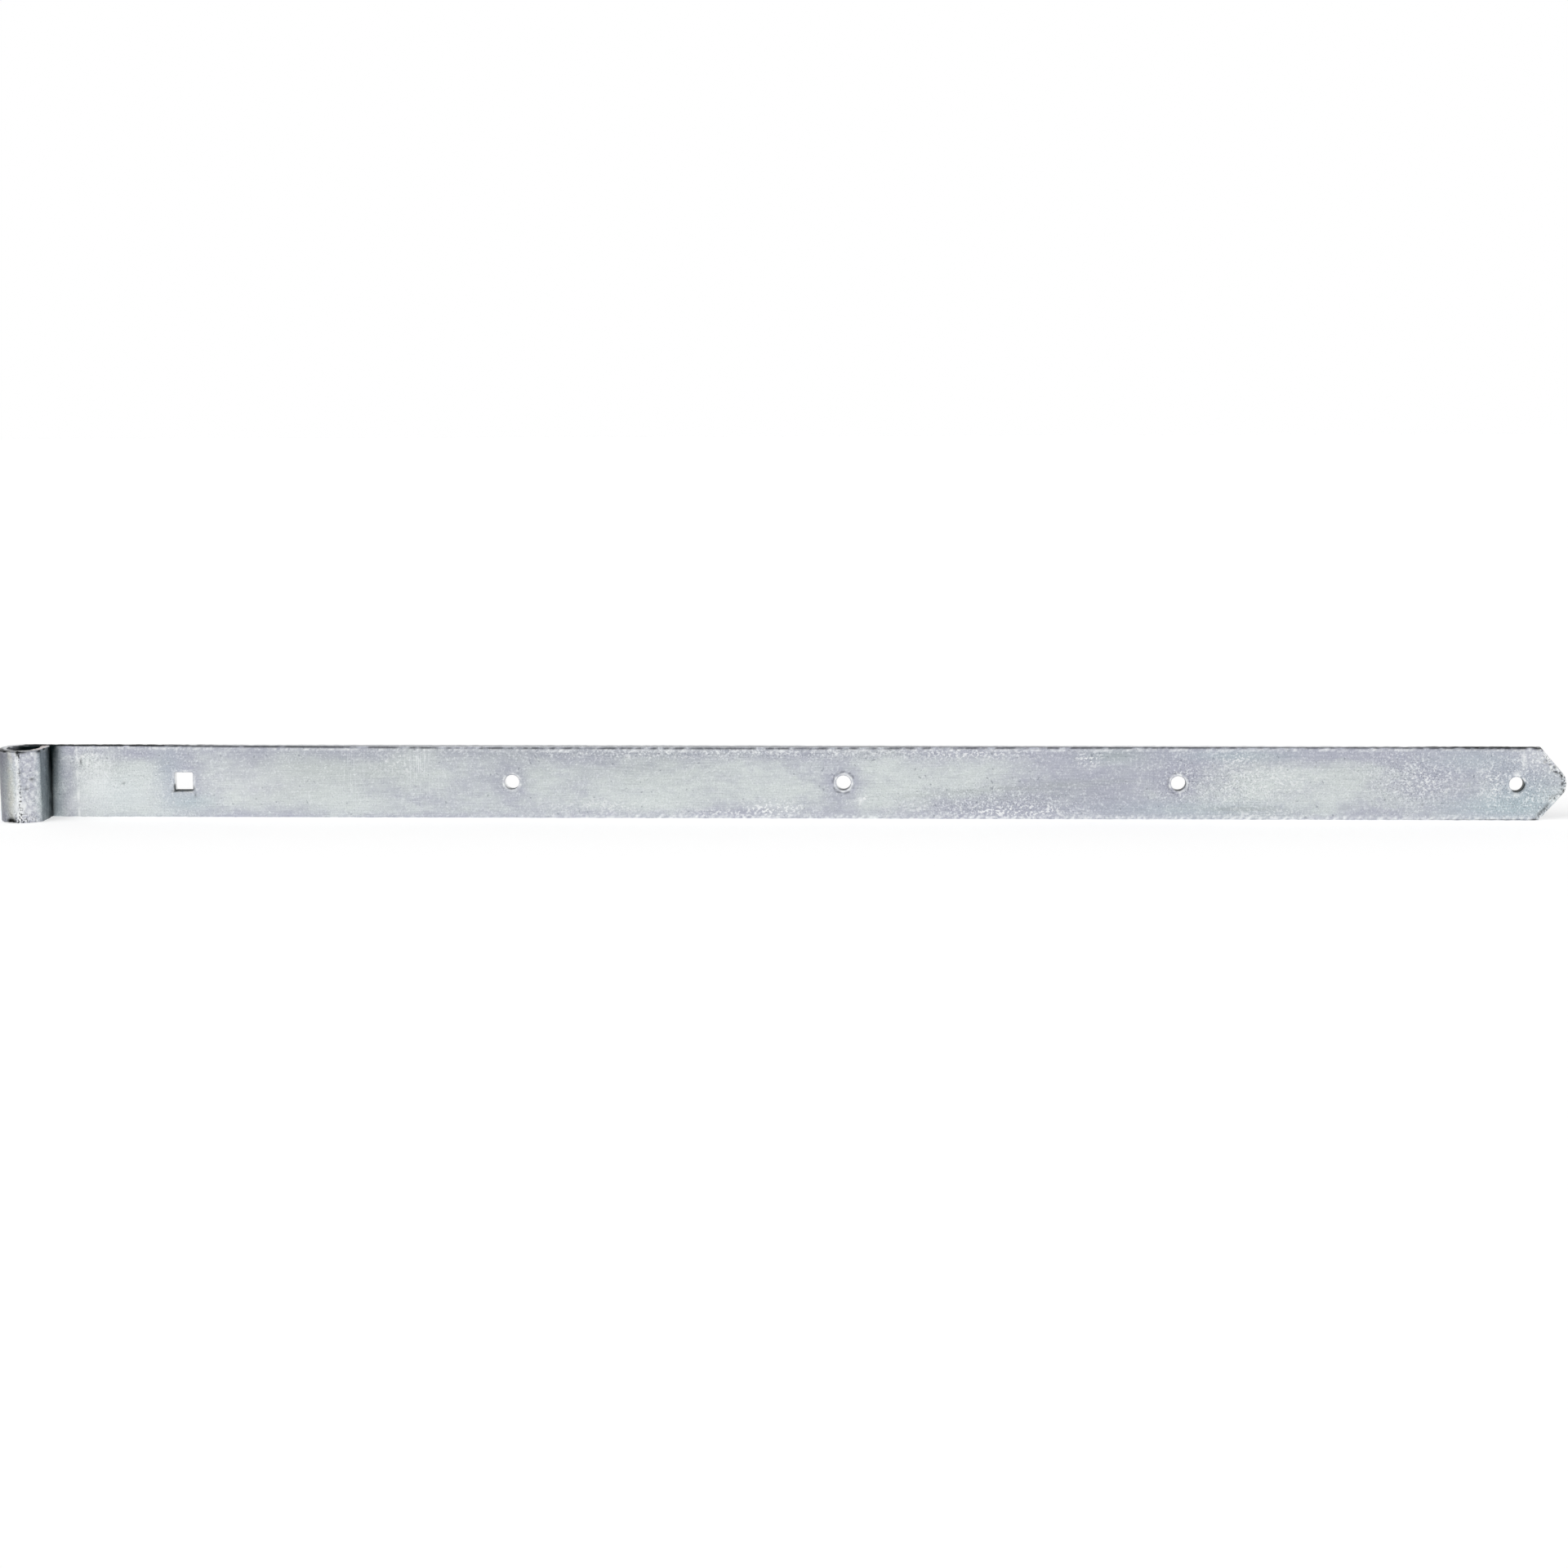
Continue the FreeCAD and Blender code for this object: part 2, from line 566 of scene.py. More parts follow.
@dataclass(frozen=True)
class Course:
    """The bar's whole course: its lines of points from the sheared end round the eye to the tip.

    Args:
        inner: Points of the inner face's section, as x and y.
        outer: Points of the outer face's section.
        half: Half the faces' width at each, inside the rounded edge.
        lean_x: The edge's outward direction at each, along the strap.
        lean_z: The same across the strap.
        strap: Number of the strap's first line.
    """

    inner: np.ndarray
    outer: np.ndarray
    half: np.ndarray
    lean_x: np.ndarray
    lean_z: np.ndarray
    strap: int

    @property
    def thickness(self) -> np.ndarray:
        """The bar's thickness at each line."""
        return np.linalg.norm(self.outer - self.inner, axis=1)

    @classmethod
    def of(cls, sizes: BandSizes, stations: Stations) -> "Course":
        """Joins the eye's section and the strap's cross lines.

        Args:
            sizes: The band's sizes.
            stations: The strap's cross lines.

        Returns:
            The whole course.
        """
        inner_eye, outer_eye = BarPath(sizes).eye()
        strap = np.stack([stations.x, np.full_like(stations.x, sizes.bore_r)], axis=-1)
        lines = len(inner_eye) - 1
        return cls(
            inner=np.concatenate([inner_eye[:-1], strap]),
            outer=np.concatenate([outer_eye[:-1], strap + [0, sizes.thickness]]),
            half=np.concatenate([np.full(lines, sizes.half_width - sizes.edge_r), stations.half]),
            lean_x=np.concatenate([np.zeros(lines), stations.lean_x]),
            lean_z=np.concatenate([np.ones(lines), stations.lean_z]),
            strap=lines,
        )


@dataclass
class GalvanisedBand:
    """The whole band as one closed piece, with the relief of its zinc skin.

    Args:
        sizes: The band's sizes.
        finish: The material to dress it with.
        corner_steps: How many cells go round a quarter of an edge or of a lip.
        edge_steps: How many cells lie on the flat of the bar's edge.
        approach_steps: How many rings of cells lie between a hole's square and its rim.
        approach_draw: How much those rings draw together towards the rim.
        wall_parts: Where rings lie on a hole's wall, as parts of the thickness.
    """

    sizes: BandSizes
    finish: bpy.types.Material
    corner_steps: int = 4
    edge_steps: int = 3
    approach_steps: int = 8
    approach_draw: float = 1.5
    wall_parts: tuple[float, ...] = (0.3, 0.5, 0.7)

    def edge_profile(self, thickness: np.ndarray) -> tuple[np.ndarray, np.ndarray]:
        """Section of the bar's long edge: a quarter arc, a flat and a quarter arc.

        Args:
            thickness: The bar's thickness at each station.

        Returns:
            How far each step stands out from the inset line, and how deep it lies.
        """
        r = self.sizes.edge_r
        turn = np.linspace(0, np.pi / 2, self.corner_steps + 1)
        flat = np.linspace(0, 1, self.edge_steps + 1)[1:-1]
        out = np.concatenate([r * np.sin(turn), np.full_like(flat, r), r * np.sin(turn[::-1])])
        depth = np.concatenate([
            np.broadcast_to(r * (1 - np.cos(turn)), (len(thickness), len(turn))),
            r + (thickness[:, None] - 2 * r) * flat,
            thickness[:, None] - r * (1 - np.cos(turn[::-1])),
        ], axis=1)
        return out, depth

    def skin(self) -> Skin:
        """Lays out the bar as sheets that share the points where they meet.

        The front and back faces are the section's two lines drawn over the bar's width, with a
        square left open round each hole. They close to a point at the nose.

        Returns:
            The mesh.
        """
        plan = StrapPlan(self.sizes)
        stations = plan.stations()
        course = Course.of(self.sizes, stations)
        across = plan.across()
        skin = Skin()
        front = skin.place(self.sheet(course.inner, course.half, across))
        back = skin.place(self.sheet(course.outer, course.half, across))
        front[-1], back[-1] = front[-1, 0], back[-1, 0]
        upper, lower = self.long_edges(skin, course, front, back)

        side = 2 * plan.square_cells
        low = (plan.cells_across - side) // 2
        starts = [first + course.strap for first in stations.squares]
        keep = np.ones((len(course.half) - 1, plan.cells_across), bool)
        for start in starts:
            keep[start : start + side, low : low + side] = False
        skin.cover(front, keep)
        skin.cover(back[:, ::-1], keep[:, ::-1])
        skin.cover(upper)
        skin.cover(lower[:, ::-1])

        end = skin.place(self.sheared_end(course, across))
        end[0], end[-1], end[:, 0], end[:, -1] = front[0], back[0], lower[0], upper[0]
        skin.cover(end)
        for hole, start in zip(self.sizes.holes, starts):
            self.punch(skin, hole, plan, front, back, start, low)
        return skin

    def long_edges(self, skin: Skin, course: Course, front: np.ndarray,
                   back: np.ndarray) -> tuple[np.ndarray, np.ndarray]:
        """Carries the edge's profile along both of the bar's long edges.

        Each point lies at its step's depth on the way from the inner to the outer face, and
        stands out from the faces' end by its step, in the edge's outward direction.

        Args:
            skin: The mesh.
            course: The bar's course.
            front: Point numbers of the front face.
            back: Point numbers of the back face.

        Returns:
            Point numbers of the upper edge and those of the lower one, which meet at the nose.
        """
        thickness = course.thickness
        out, depth = self.edge_profile(thickness)
        into = (course.outer - course.inner) / thickness[:, None]
        middle = course.inner[:, None] + into[:, None] * depth[..., None]
        x = middle[..., 0] + course.lean_x[:, None] * out
        z = course.half[:, None] + course.lean_z[:, None] * out
        edges = []
        for way, column in ((1, -1), (-1, 0)):
            rows = skin.place(np.stack([x, middle[..., 1], way * z], axis=-1))
            rows[:, 0], rows[:, -1] = front[:, column], back[:, column]
            edges.append(rows)
        upper, lower = edges
        lower[-1] = upper[-1]
        return upper, lower

    def sheared_end(self, course: Course, across: np.ndarray) -> np.ndarray:
        """Draws the roll's end over the bar's width, as wide at each depth as the edge's profile.

        Args:
            course: The bar's course.
            across: Places across the width, from -1 to 1.

        Returns:
            The sheet's points.
        """
        thickness = course.thickness[:1]
        out, depth = self.edge_profile(thickness)
        into = (course.outer[0] - course.inner[0]) / thickness
        line = course.inner[0] + into * depth[0][:, None]
        return self.sheet(line, course.half[0] + out, across)

    def sheet(self, line: np.ndarray, half: np.ndarray, across: np.ndarray) -> np.ndarray:
        """Draws a line of points over the bar's width.

        Args:
            line: The points, as x and y.
            half: Half the width at each.
            across: Places across the width, from -1 to 1.

        Returns:
            The sheet's points.
        """
        z = half[:, None] * across
        x = np.broadcast_to(line[:, :1], z.shape)
        y = np.broadcast_to(line[:, 1:], z.shape)
        return np.stack([x, y, z], axis=-1)

    def punch(self, skin: Skin, hole: Hole, plan: StrapPlan, front: np.ndarray, back: np.ndarray,
              start: int, low: int) -> None:
        """Closes a square left open in both faces with rings that run in through the hole.

        The rings go from the square to the rim, round the rim, through the wall, round the back
        rim and out to the square in the back face.

        Args:
            skin: The mesh.
            hole: The hole.
            plan: The strap's cells.
            front: Point numbers of the front face.
            back: Point numbers of the back face.
            start: First station of the square.
            low: First column of the square.
        """
        sizes = self.sizes
        n = 2 * plan.square_cells
        step = np.arange(n)
        last = np.full(n, n)
        none = np.zeros(n, int)
        row = np.concatenate([last, n - step, none, step]) + start
        column = np.concatenate([step, last, n - step, none]) + low
        side = np.repeat(np.arange(4), n)
        along = np.tile(step, 4) / plan.square_cells - 1
        rim, away = hole.rim(along, side.astype(float))
        reach = plan.cell * plan.square_cells
        square = turned(np.stack([np.full(4 * n, reach), along * reach], axis=-1), side * np.pi / 2)
        open_rim = rim + away * sizes.rim_r
        approach = 1 - (1 - np.linspace(0, 1, self.approach_steps + 1)[1:]) ** self.approach_draw
        rings = [square + (open_rim - square) * part for part in approach]
        depths = [0.0] * len(rings)
        for turn in np.linspace(0, np.pi / 2, self.corner_steps + 1)[1:]:
            rings.append(rim + away * sizes.rim_r * (1 - np.sin(turn)))
            depths.append(sizes.rim_r * (1 - np.cos(turn)))
        half_way = len(rings)
        depths += [sizes.thickness * part for part in self.wall_parts]
        rings += [rim] * len(self.wall_parts)
        rings += rings[:half_way][::-1]
        depths += [sizes.thickness - depth for depth in depths[:half_way][::-1]]
        flat = np.stack(rings)
        depth = np.broadcast_to(np.array(depths)[:, None], flat.shape[:2])
        points = np.stack([flat[..., 0] + hole.x, sizes.bore_r + depth, flat[..., 1]], axis=-1)
        numbers = skin.place(points)
        numbers = np.concatenate([front[row, column][None], numbers, back[row, column][None]])
        skin.cover(np.concatenate([numbers, numbers[:, :1]], axis=1))

    def shown(self) -> None:
        """Makes the piece, dresses it and lets it stand for the CAD band.

        Each point of the bare bar moves along the surface's direction by the relief there, and
        stays within the CAD band's box.
        """
        points, quads, triangles = self.skin().finished()
        mesh = bpy.data.meshes.new("galvanised_band")
        corners = np.concatenate([quads.ravel(), triangles.ravel()])
        counts = np.concatenate([np.full(len(quads), 4), np.full(len(triangles), 3)])
        mesh.vertices.add(len(points))
        mesh.vertices.foreach_set("co", points.ravel() * MM)
        mesh.loops.add(len(corners))
        mesh.loops.foreach_set("vertex_index", corners.astype(np.int32))
        mesh.polygons.add(len(counts))
        mesh.polygons.foreach_set("loop_start", (np.cumsum(counts) - counts).astype(np.int32))
        mesh.update(calc_edges=True)
        self.turn_outward(mesh)

        outward = np.empty(3 * len(points), np.float32)
        mesh.vertex_normals.foreach_get("vector", outward)
        outward = outward.reshape(-1, 3)
        marks = SkinMarks(self.sizes, Places.on(self.sizes, points), outward)
        raised = points + outward * marks.relief()[:, None]
        low, high = (np.array(corner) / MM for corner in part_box("band"))
        raised = np.clip(raised, low, high)
        mesh.vertices.foreach_set("co", raised.astype(np.float32).ravel() * np.float32(MM))
        for layer, values in marks.layers().items():
            carried = mesh.attributes.new(layer.value, "FLOAT", "POINT")
            carried.data.foreach_set("value", values.astype(np.float32))
        mesh.polygons.foreach_set("use_smooth", np.ones(len(counts), bool))
        mesh.update()
        mesh.materials.append(self.finish)
        piece = bpy.data.objects.new("galvanised_band", mesh)
        bpy.context.scene.collection.objects.link(piece)
        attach(piece, "root")
        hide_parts("band")
        log.info("galvanised_band: %d points, %d faces", len(points), len(counts))

    def turn_outward(self, mesh: bpy.types.Mesh) -> None:
        """Makes every face look out of the closed bar."""
        work = bmesh.new()
        work.from_mesh(mesh)
        bmesh.ops.recalc_face_normals(work, faces=work.faces)
        work.to_mesh(mesh)
        work.free()


@dataclass(frozen=True)
class Strip:
    """An upright strip on the outside of the eye.

    Args:
        turn: Where it lies round the eye's axis, in degrees.
        reach: Half its width, in degrees.
        amount: How strong it is.
    """

    turn: float
    reach: float
    amount: float

    def over(self, turn: np.ndarray) -> np.ndarray:
        """Strength of the strip at turns about the axis, as a soft hump."""
        return self.amount * bell(turn - self.turn, self.reach)


@dataclass(frozen=True)
class Places:
    """Where points of the bare bar lie, in millimetres and degrees.

    Args:
        points: The points.
        rim: Distance from the nearest hole's outline, over the face.
        beside: How far along the strap from that hole's middle.
        shade: That hole's shade.
        tip: Distance from the tip's cuts and nose, over the face.
        top: Distance down from the top edge, and below 0 on the edge itself, by its depth in the bar.
        bottom: Distance up from the bottom edge, counted in the same way.
        away: Distance from the eye's axis, as if the flank and the strap were parts of its circle.
        turn: Turn about the eye's axis, from -180 to 180.
        eye: 1 on the eye's outside, else 0.
        front: 1 on the side that shows on a hung gate, else 0.
    """

    points: np.ndarray
    rim: np.ndarray
    beside: np.ndarray
    shade: np.ndarray
    tip: np.ndarray
    top: np.ndarray
    bottom: np.ndarray
    away: np.ndarray
    turn: np.ndarray
    eye: np.ndarray
    front: np.ndarray

    @classmethod
    def on(cls, sizes: BandSizes, points: np.ndarray) -> "Places":
        """Measures points of the bare bar.

        The tip's distance is the smaller of those from a cut's straight line and from the nose's
        circle. A point's depth in the bar is its distance from the nearer of the two broad faces.
        From the crease on, points belong to the flank, and from the middle of the seam's gap on to
        the strap. The eye's outside starts a little within the middle of the bar.

        Args:
            sizes: The band's sizes.
            points: The points.

        Returns:
            Where they lie.
        """
        x, y, z = points.T
        height = np.abs(z)
        from_nose = x - (sizes.tip_x - sizes.nose_r)
        cut = sizes.nose_r - from_nose * np.sin(sizes.tip_cut) - height * np.cos(sizes.tip_cut)
        nose = np.where(from_nose > 0, sizes.nose_r - np.hypot(from_nose, height), sizes.half_width)
        beside_seam = (x > 0) & (y > sizes.flank_start)
        along_flank = x * np.cos(sizes.flank_lean) - y * np.sin(sizes.flank_lean) + sizes.flank_press
        away = np.where(beside_seam, along_flank, np.hypot(x, y))
        away = np.where((x > 0) & (y > sizes.seam_y), y, away)
        depth = np.clip(np.minimum(away - sizes.bore_r, sizes.outer_r - away), 0, None)
        middle = sizes.bore_r + sizes.thickness / 2
        eye = (away > middle - 0.6) & (x < sizes.outer_r) & (y < sizes.seam_y)
        rims = np.array([hole.distance(x, z) for hole in sizes.holes])
        nearest = rims.argmin(axis=0)
        return cls(
            points=points,
            rim=rims.min(axis=0),
            beside=x - np.array([hole.x for hole in sizes.holes])[nearest],
            shade=np.array([hole.shade for hole in sizes.holes])[nearest],
            tip=np.minimum(cut, nose),
            top=sizes.half_width - z - depth,
            bottom=sizes.half_width + z - depth,
            away=away,
            turn=np.degrees(np.arctan2(y, x)),
            eye=eye.astype(float),
            front=(y < middle).astype(float),
        )


@dataclass(frozen=True)
class SkinMarks:
    """What sets one place of the zinc skin apart from the next, worked out from distances.

    In the methods, a hump's or a ramp's ends and widths are in millimetres, and the factor before
    it is its strength. Waves are given as middle, swing, wavelength in millimetres and seed.

    Args:
        sizes: The band's sizes.
        places: Where the skin's points lie.
        outward: The surface's direction at each point.
        blooms: Duller lavender patches of the front face, and paler ones where below 0.
        dulled: Greyer patches.
        sprayed: Clusters of small white specks.
        speckled: Patches of fine speckle.
        scratched: Patches of upright scratches.
        cooled: Bluish green patches.
        brightened: Patches of bright zinc, large and faint or small and strong.
        marks: Dark marks under the eye's top rim, at its foot and in its dents.
        nicks_and_shade: Dark marks nicked in the strap's face, most by the tip's cuts, and painted shade
            along the square hole's foot.
        dents: Dents, with their depth in millimetres.
        eye_shade_strips: Strips of painted shade round the eye.
        gleams: Strips of painted highlight round the eye.
        warmed: Cream strips round the eye.
        ridge: The thick run of zinc along the eye, raised, and painted bright as a highlight.
        pits: The strip of pits in it.
        flats: The hammered flats on both sides of it, with their depth in millimetres.
        shaded: Duller strips round the eye, and a paler one where below 0.
        bend_line: Place of the mark that the rolling tool left across the strap.
        ring_middle: Place along the strap where the broken rings round the holes are strongest.
        insets: Places along the strap, each with the dark line's distance from the top edge there.
        fresh_from: Place along the strap from which the roll's end is freshly sheared.
        let_in: How far the whole skin is let in, which is its middle height.
    """

    sizes: BandSizes
    places: Places
    outward: np.ndarray
    blooms: tuple[Spot, ...] = spots(
        (745, 2, 52, 26, 1.0), (985, 0, 54, 26, 0.75), (968, 3, 32, 20, 0.35), (866, 0, 40, 15, -0.35),
        (74.5, 19, 9, 2.6, 0.9), (64, 0, 26, 16, -0.9), (60, 13, 9, 5, 0.5), (27, 0, 6, 24, 0.8),
        (215, 16, 34, 7, 0.2), (325, 9, 24, 11, 0.3), (425, 15, 50, 7, 0.3), (103, 1, 14, 15, 1.0),
        (62, 16, 16, 6, 0.4), (102, 19, 16, 5, 0.4), (140, -17, 26, 7, -0.45), (748, 10, 34, 12, 0.4),
        (700, -3, 40, 8, 0.3), (940, -6, 34, 11, 0.4), (895, 18, 60, 6, 0.3), (185, -22, 22, 4, 0.4),
        (415, -11, 66, 8, -0.3), (625, 2, 26, 12, -0.2), (130, -4, 7, 16, 0.3), (285, -14, 24, 7, 0.4),
        (690, -15, 60, 8, 0.6), (510, -18, 34, 6, 0.5), (845, 17, 24, 6, 0.25), (410, -22, 50, 4, 0.4),
        (605, -21, 40, 4, 0.4), (775, -17, 34, 5, 0.3), (410, 22, 50, 4, 0.3),
    )
    dulled: tuple[Spot, ...] = spots(
        (53, 11, 14, 7, 0.5), (190, 10, 50, 12, 0.6), (252, 7, 38, 11, 0.4), (338, 8, 24, 12, 0.35),
        (425, 10, 52, 11, 0.4), (180, -8, 30, 9, 0.35), (330, 20, 130, 5, 0.3), (750, 20, 20, 6, 0.5),
        (440, 22, 200, 4, 0.25), (612, -8.6, 18, 1.3, 0.45), (645, -6.0, 18, 1.3, 0.5),
        (678, -3.6, 20, 1.5, 0.5), (712, -1.2, 20, 1.5, 0.5), (745, 1.5, 22, 1.6, 0.5),
        (830, -17.5, 26, 1.4, 0.7), (845, -20, 36, 5, 0.3), (577, 22, 24, 4, 0.35),
        (742, 19, 20, 5, 0.25), (843, 18, 20, 5, 0.3), (273, 23, 20, 3, 0.35), (712, -5, 34, 8, 0.3),
        (905, 6, 20, 10, 0.25),
    )
    sprayed: tuple[Spot, ...] = spots(
        (515, -18, 22, 6, 1.0), (575, -12, 4, 4, 1.0), (655, -20, 26, 5, 0.5), (540, 21, 60, 3, 0.6),
        (690, -19, 34, 6, 0.8), (650, 20, 50, 4, 0.7), (728, 16, 9, 5, 0.9), (826, 18, 14, 5, 0.6),
        (845, 0, 50, 15, 0.5), (850, -21, 36, 3.5, 0.4), (955, 2, 30, 14, 0.55), (1001, 0, 6, 18, 0.7),
        (1030, 17, 14, 7, 0.7), (255, 14, 22, 10, 0.4), (420, 20, 60, 4, 0.5), (40, 16, 12, 8, 0.6),
        (3, -21, 9, 4.5, 0.6), (400, -17, 44, 6, 0.5), (475, -22, 24, 4, 0.6), (610, -17, 24, 5, 0.4),
    )
    speckled: tuple[Spot, ...] = spots(
        (665, -13, 48, 9, 0.8), (825, 0, 26, 16, 0.6), (945, 3, 24, 18, 0.8), (790, 0, 14, 14, 0.7),
        (1020, 0, 26, 24, 0.9), (100, -2, 30, 20, 0.3), (48, 0, 22, 22, 0.45), (40, 15, 9, 9, 0.6),
        (500, 20, 160, 4, 0.6), (6, 0, 16, 40, 0.45),
    )
    scratched: tuple[Spot, ...] = spots(
        (48, 4, 15, 18, 1.0), (222, 3, 9, 18, 0.9), (274, 6, 14, 18, 1.0),
    )
    cooled: tuple[Spot, ...] = spots(
        (1022, -8, 24, 15, 0.8), (1000, -16, 34, 7, 0.7), (112, -14, 15, 6, 0.8), (60, -8, 22, 12, 0.5),
        (830, 19, 34, 4, 0.7), (800, -18, 60, 6, 0.5), (-6, 8, 8, 14, 0.3), (990, 16, 34, 8, 0.4),
        (97, 2, 10, 22, 0.45), (745, 19, 18, 5, 0.5),
    )
    brightened: tuple[Spot, ...] = spots(
        (46, -2, 14, 20, 0.36), (74, -8, 34, 13, 0.30), (158, -2, 44, 16, 0.22),
        (1017, 7.5, 3, 1.4, 0.6), (1017, -7.5, 3, 1.4, 0.7), (1021, 17, 1.1, 7, 0.6),
        (512, -17, 18, 1.6, 0.2), (574, -12, 1.6, 1.6, 1.0), (2, -14, 5, 7, 0.6),
        (1034, 19, 14, 7, 0.35), (29, -17, 9, 7, 0.25),
    )
    marks: tuple[Spot, ...] = spots(
        (-9.5, 24.7, 5.0, 0.6, 0.7), (0.6, 23.2, 0.8, 1.7, 0.9), (2.9, 24.0, 4.6, 0.8, 1.0),
        (13.0, 23.6, 1.6, 1.2, 0.5), (-5.7, -23.8, 2.9, 2.4, 1.7), (9.1, 5.0, 1.4, 0.9, 0.8),
        (5.7, -1.0, 1.7, 0.8, 0.6), (3.0, 10.5, 1.0, 0.5, 0.3),
    )
    nicks_and_shade: tuple[Spot, ...] = spots(
        (1047.2, 0.2, 0.9, 1.3, 0.8), (1048.0, -4.6, 0.8, 1.5, 0.8), (1046.4, 5.3, 0.8, 1.0, 0.7),
        (1041.9, 11.6, 0.9, 1.0, 0.7), (1038.6, 13.4, 0.9, 0.8, 0.6), (1035.0, 15.0, 1.0, 0.9, 0.6),
        # On the next row, the second and third spots are painted shade along the square hole's foot.
        (115.4, -9.5, 0.8, 1.8, 0.5), (101.2, -6.9, 1.8, 0.8, 0.7), (106, -6.9, 5, 0.4, 0.4),
        (36.3, 13.7, 0.6, 2.2, 0.6), (65.4, -1.5, 0.9, 0.9, 0.6),
    )
    dents: tuple[Spot, ...] = spots(
        (9.1, 5.0, 1.8, 1.2, 0.16), (5.7, -1.0, 1.8, 0.9, 0.14), (-5.4, -25, 2.0, 1.4, 0.3),
        (7, -17, 2.4, 2.0, 0.15), (64, -1, 1.5, 1.5, 0.12), (154.5, -1, 1.5, 1.5, 0.12),
        (166, 11.5, 1.5, 1.5, 0.1), (570, -12, 1.6, 1.4, 0.1),
    )
    # Painted shade round the eye: down its left side and at its crease.
    eye_shade_strips: tuple[Strip, ...] = (Strip(-142, 30, 0.58), Strip(-116, 8, 0.14), Strip(-31, 3.5, 0.28))
    # Painted highlights round the eye.
    gleams: tuple[Strip, ...] = (Strip(-66, 18, 0.4), Strip(-44, 7, 0.3))
    warmed: tuple[Strip, ...] = (Strip(-109, 10, 1.0),)
    # The ridge is raised, and painted bright as a highlight.
    ridge: Strip = Strip(-89.0, 4.5, 1.1)
    pits: Strip = Strip(-85.0, 3.8, 0.9)
    flats: tuple[Strip, ...] = (Strip(-61, 17, 0.24), Strip(-119, 18, 0.22))
    shaded: tuple[Strip, ...] = (Strip(-67, 23, 1.0), Strip(-145, 25, 0.6), Strip(-108, 10, -0.6))
    bend_line: float = 33.7
    ring_middle: float = 610.0
    insets: tuple[tuple[float, float], ...] = (
        (0, 0.1), (63, 0.1), (165, 0.65), (310, 1.4), (530, 1.35), (770, 0.5), (975, 0.1), (1050, 0.0),
    )
    fresh_from: float = 7.5
    let_in: float = 0.09

    def sum_of(self, patches: tuple[Spot, ...]) -> np.ndarray:
        """Adds up patches on the front, and lets the back have them turned end for end.

        Args:
            patches: The patches.

        Returns:
            Their strength at each point.
        """
        points, front = self.places.points, self.places.front
        moved = np.stack([self.sizes.tip_x - points[:, 0], points[:, 1], -points[:, 2]], axis=-1)
        return total(patches, points) * front + total(patches, moved) * (1 - front)

    def round_eye(self, *strips: Strip) -> np.ndarray:
        """Adds up strips on the eye's outside."""
        return self.places.eye * sum(strip.over(self.places.turn) for strip in strips)

    def uneven(self, middle: float, swing: float, wavelength: float, seed: int) -> np.ndarray:
        """A strength that wanders about a middle value from place to place."""
        return middle + swing * waves(self.places.points, wavelength, seed)

    def broken(self, middle: float, swing: float, wavelength: float, seed: int) -> np.ndarray:
        """The same held between 0 and 1, so that it has gaps."""
        return np.clip(self.uneven(middle, swing, wavelength, seed), 0, 1)

    def to_tip(self) -> np.ndarray:
        """1 where the surface looks towards the tip, fading to 0 where it looks across."""
        return np.clip(self.outward[:, 0] * 1.5, 0, 1)

    def past_seam(self) -> np.ndarray:
        """1 on the strap's face, from the seam on."""
        x, y, _ = self.places.points.T
        return self.places.front * (y > self.sizes.bore_r - SKIN_DEPTH) * (x > self.sizes.flank_outer)

    def relief(self) -> np.ndarray:
        """Height of the skin over the bare bar, along the surface's direction.

        Broad lumps and small ones lie all over, beads of zinc run unevenly along the edges and
        round the holes, the roll's hammered flats are sunk on both sides of its ridge, and a few
        dents are pressed in. The whole is let in by its middle height.

        Returns:
            The height at each point, in millimetres.
        """
        places = self.places
        edge = np.minimum(self.sizes.half_width - np.abs(places.points[:, 2]), places.tip)
        lumps = self.uneven(0, 0.030, 11, 1) + self.uneven(0, 0.016, 4.2, 2)
        beads = bell(edge, 1.6) * (self.uneven(0, 0.055, 7, 3) + self.uneven(0, 0.03, 3.4, 4))
        lip = bell(places.rim - LIP_INSET, 0.9) * self.uneven(0.10, 0.04, 5, 5)
        ridge = self.round_eye(self.ridge) * self.uneven(0.07, 0.05, 5, 6)
        dents = total(self.dents, places.points) * places.front
        return lumps + beads + lip + ridge - self.round_eye(*self.flats) - dents - self.let_in

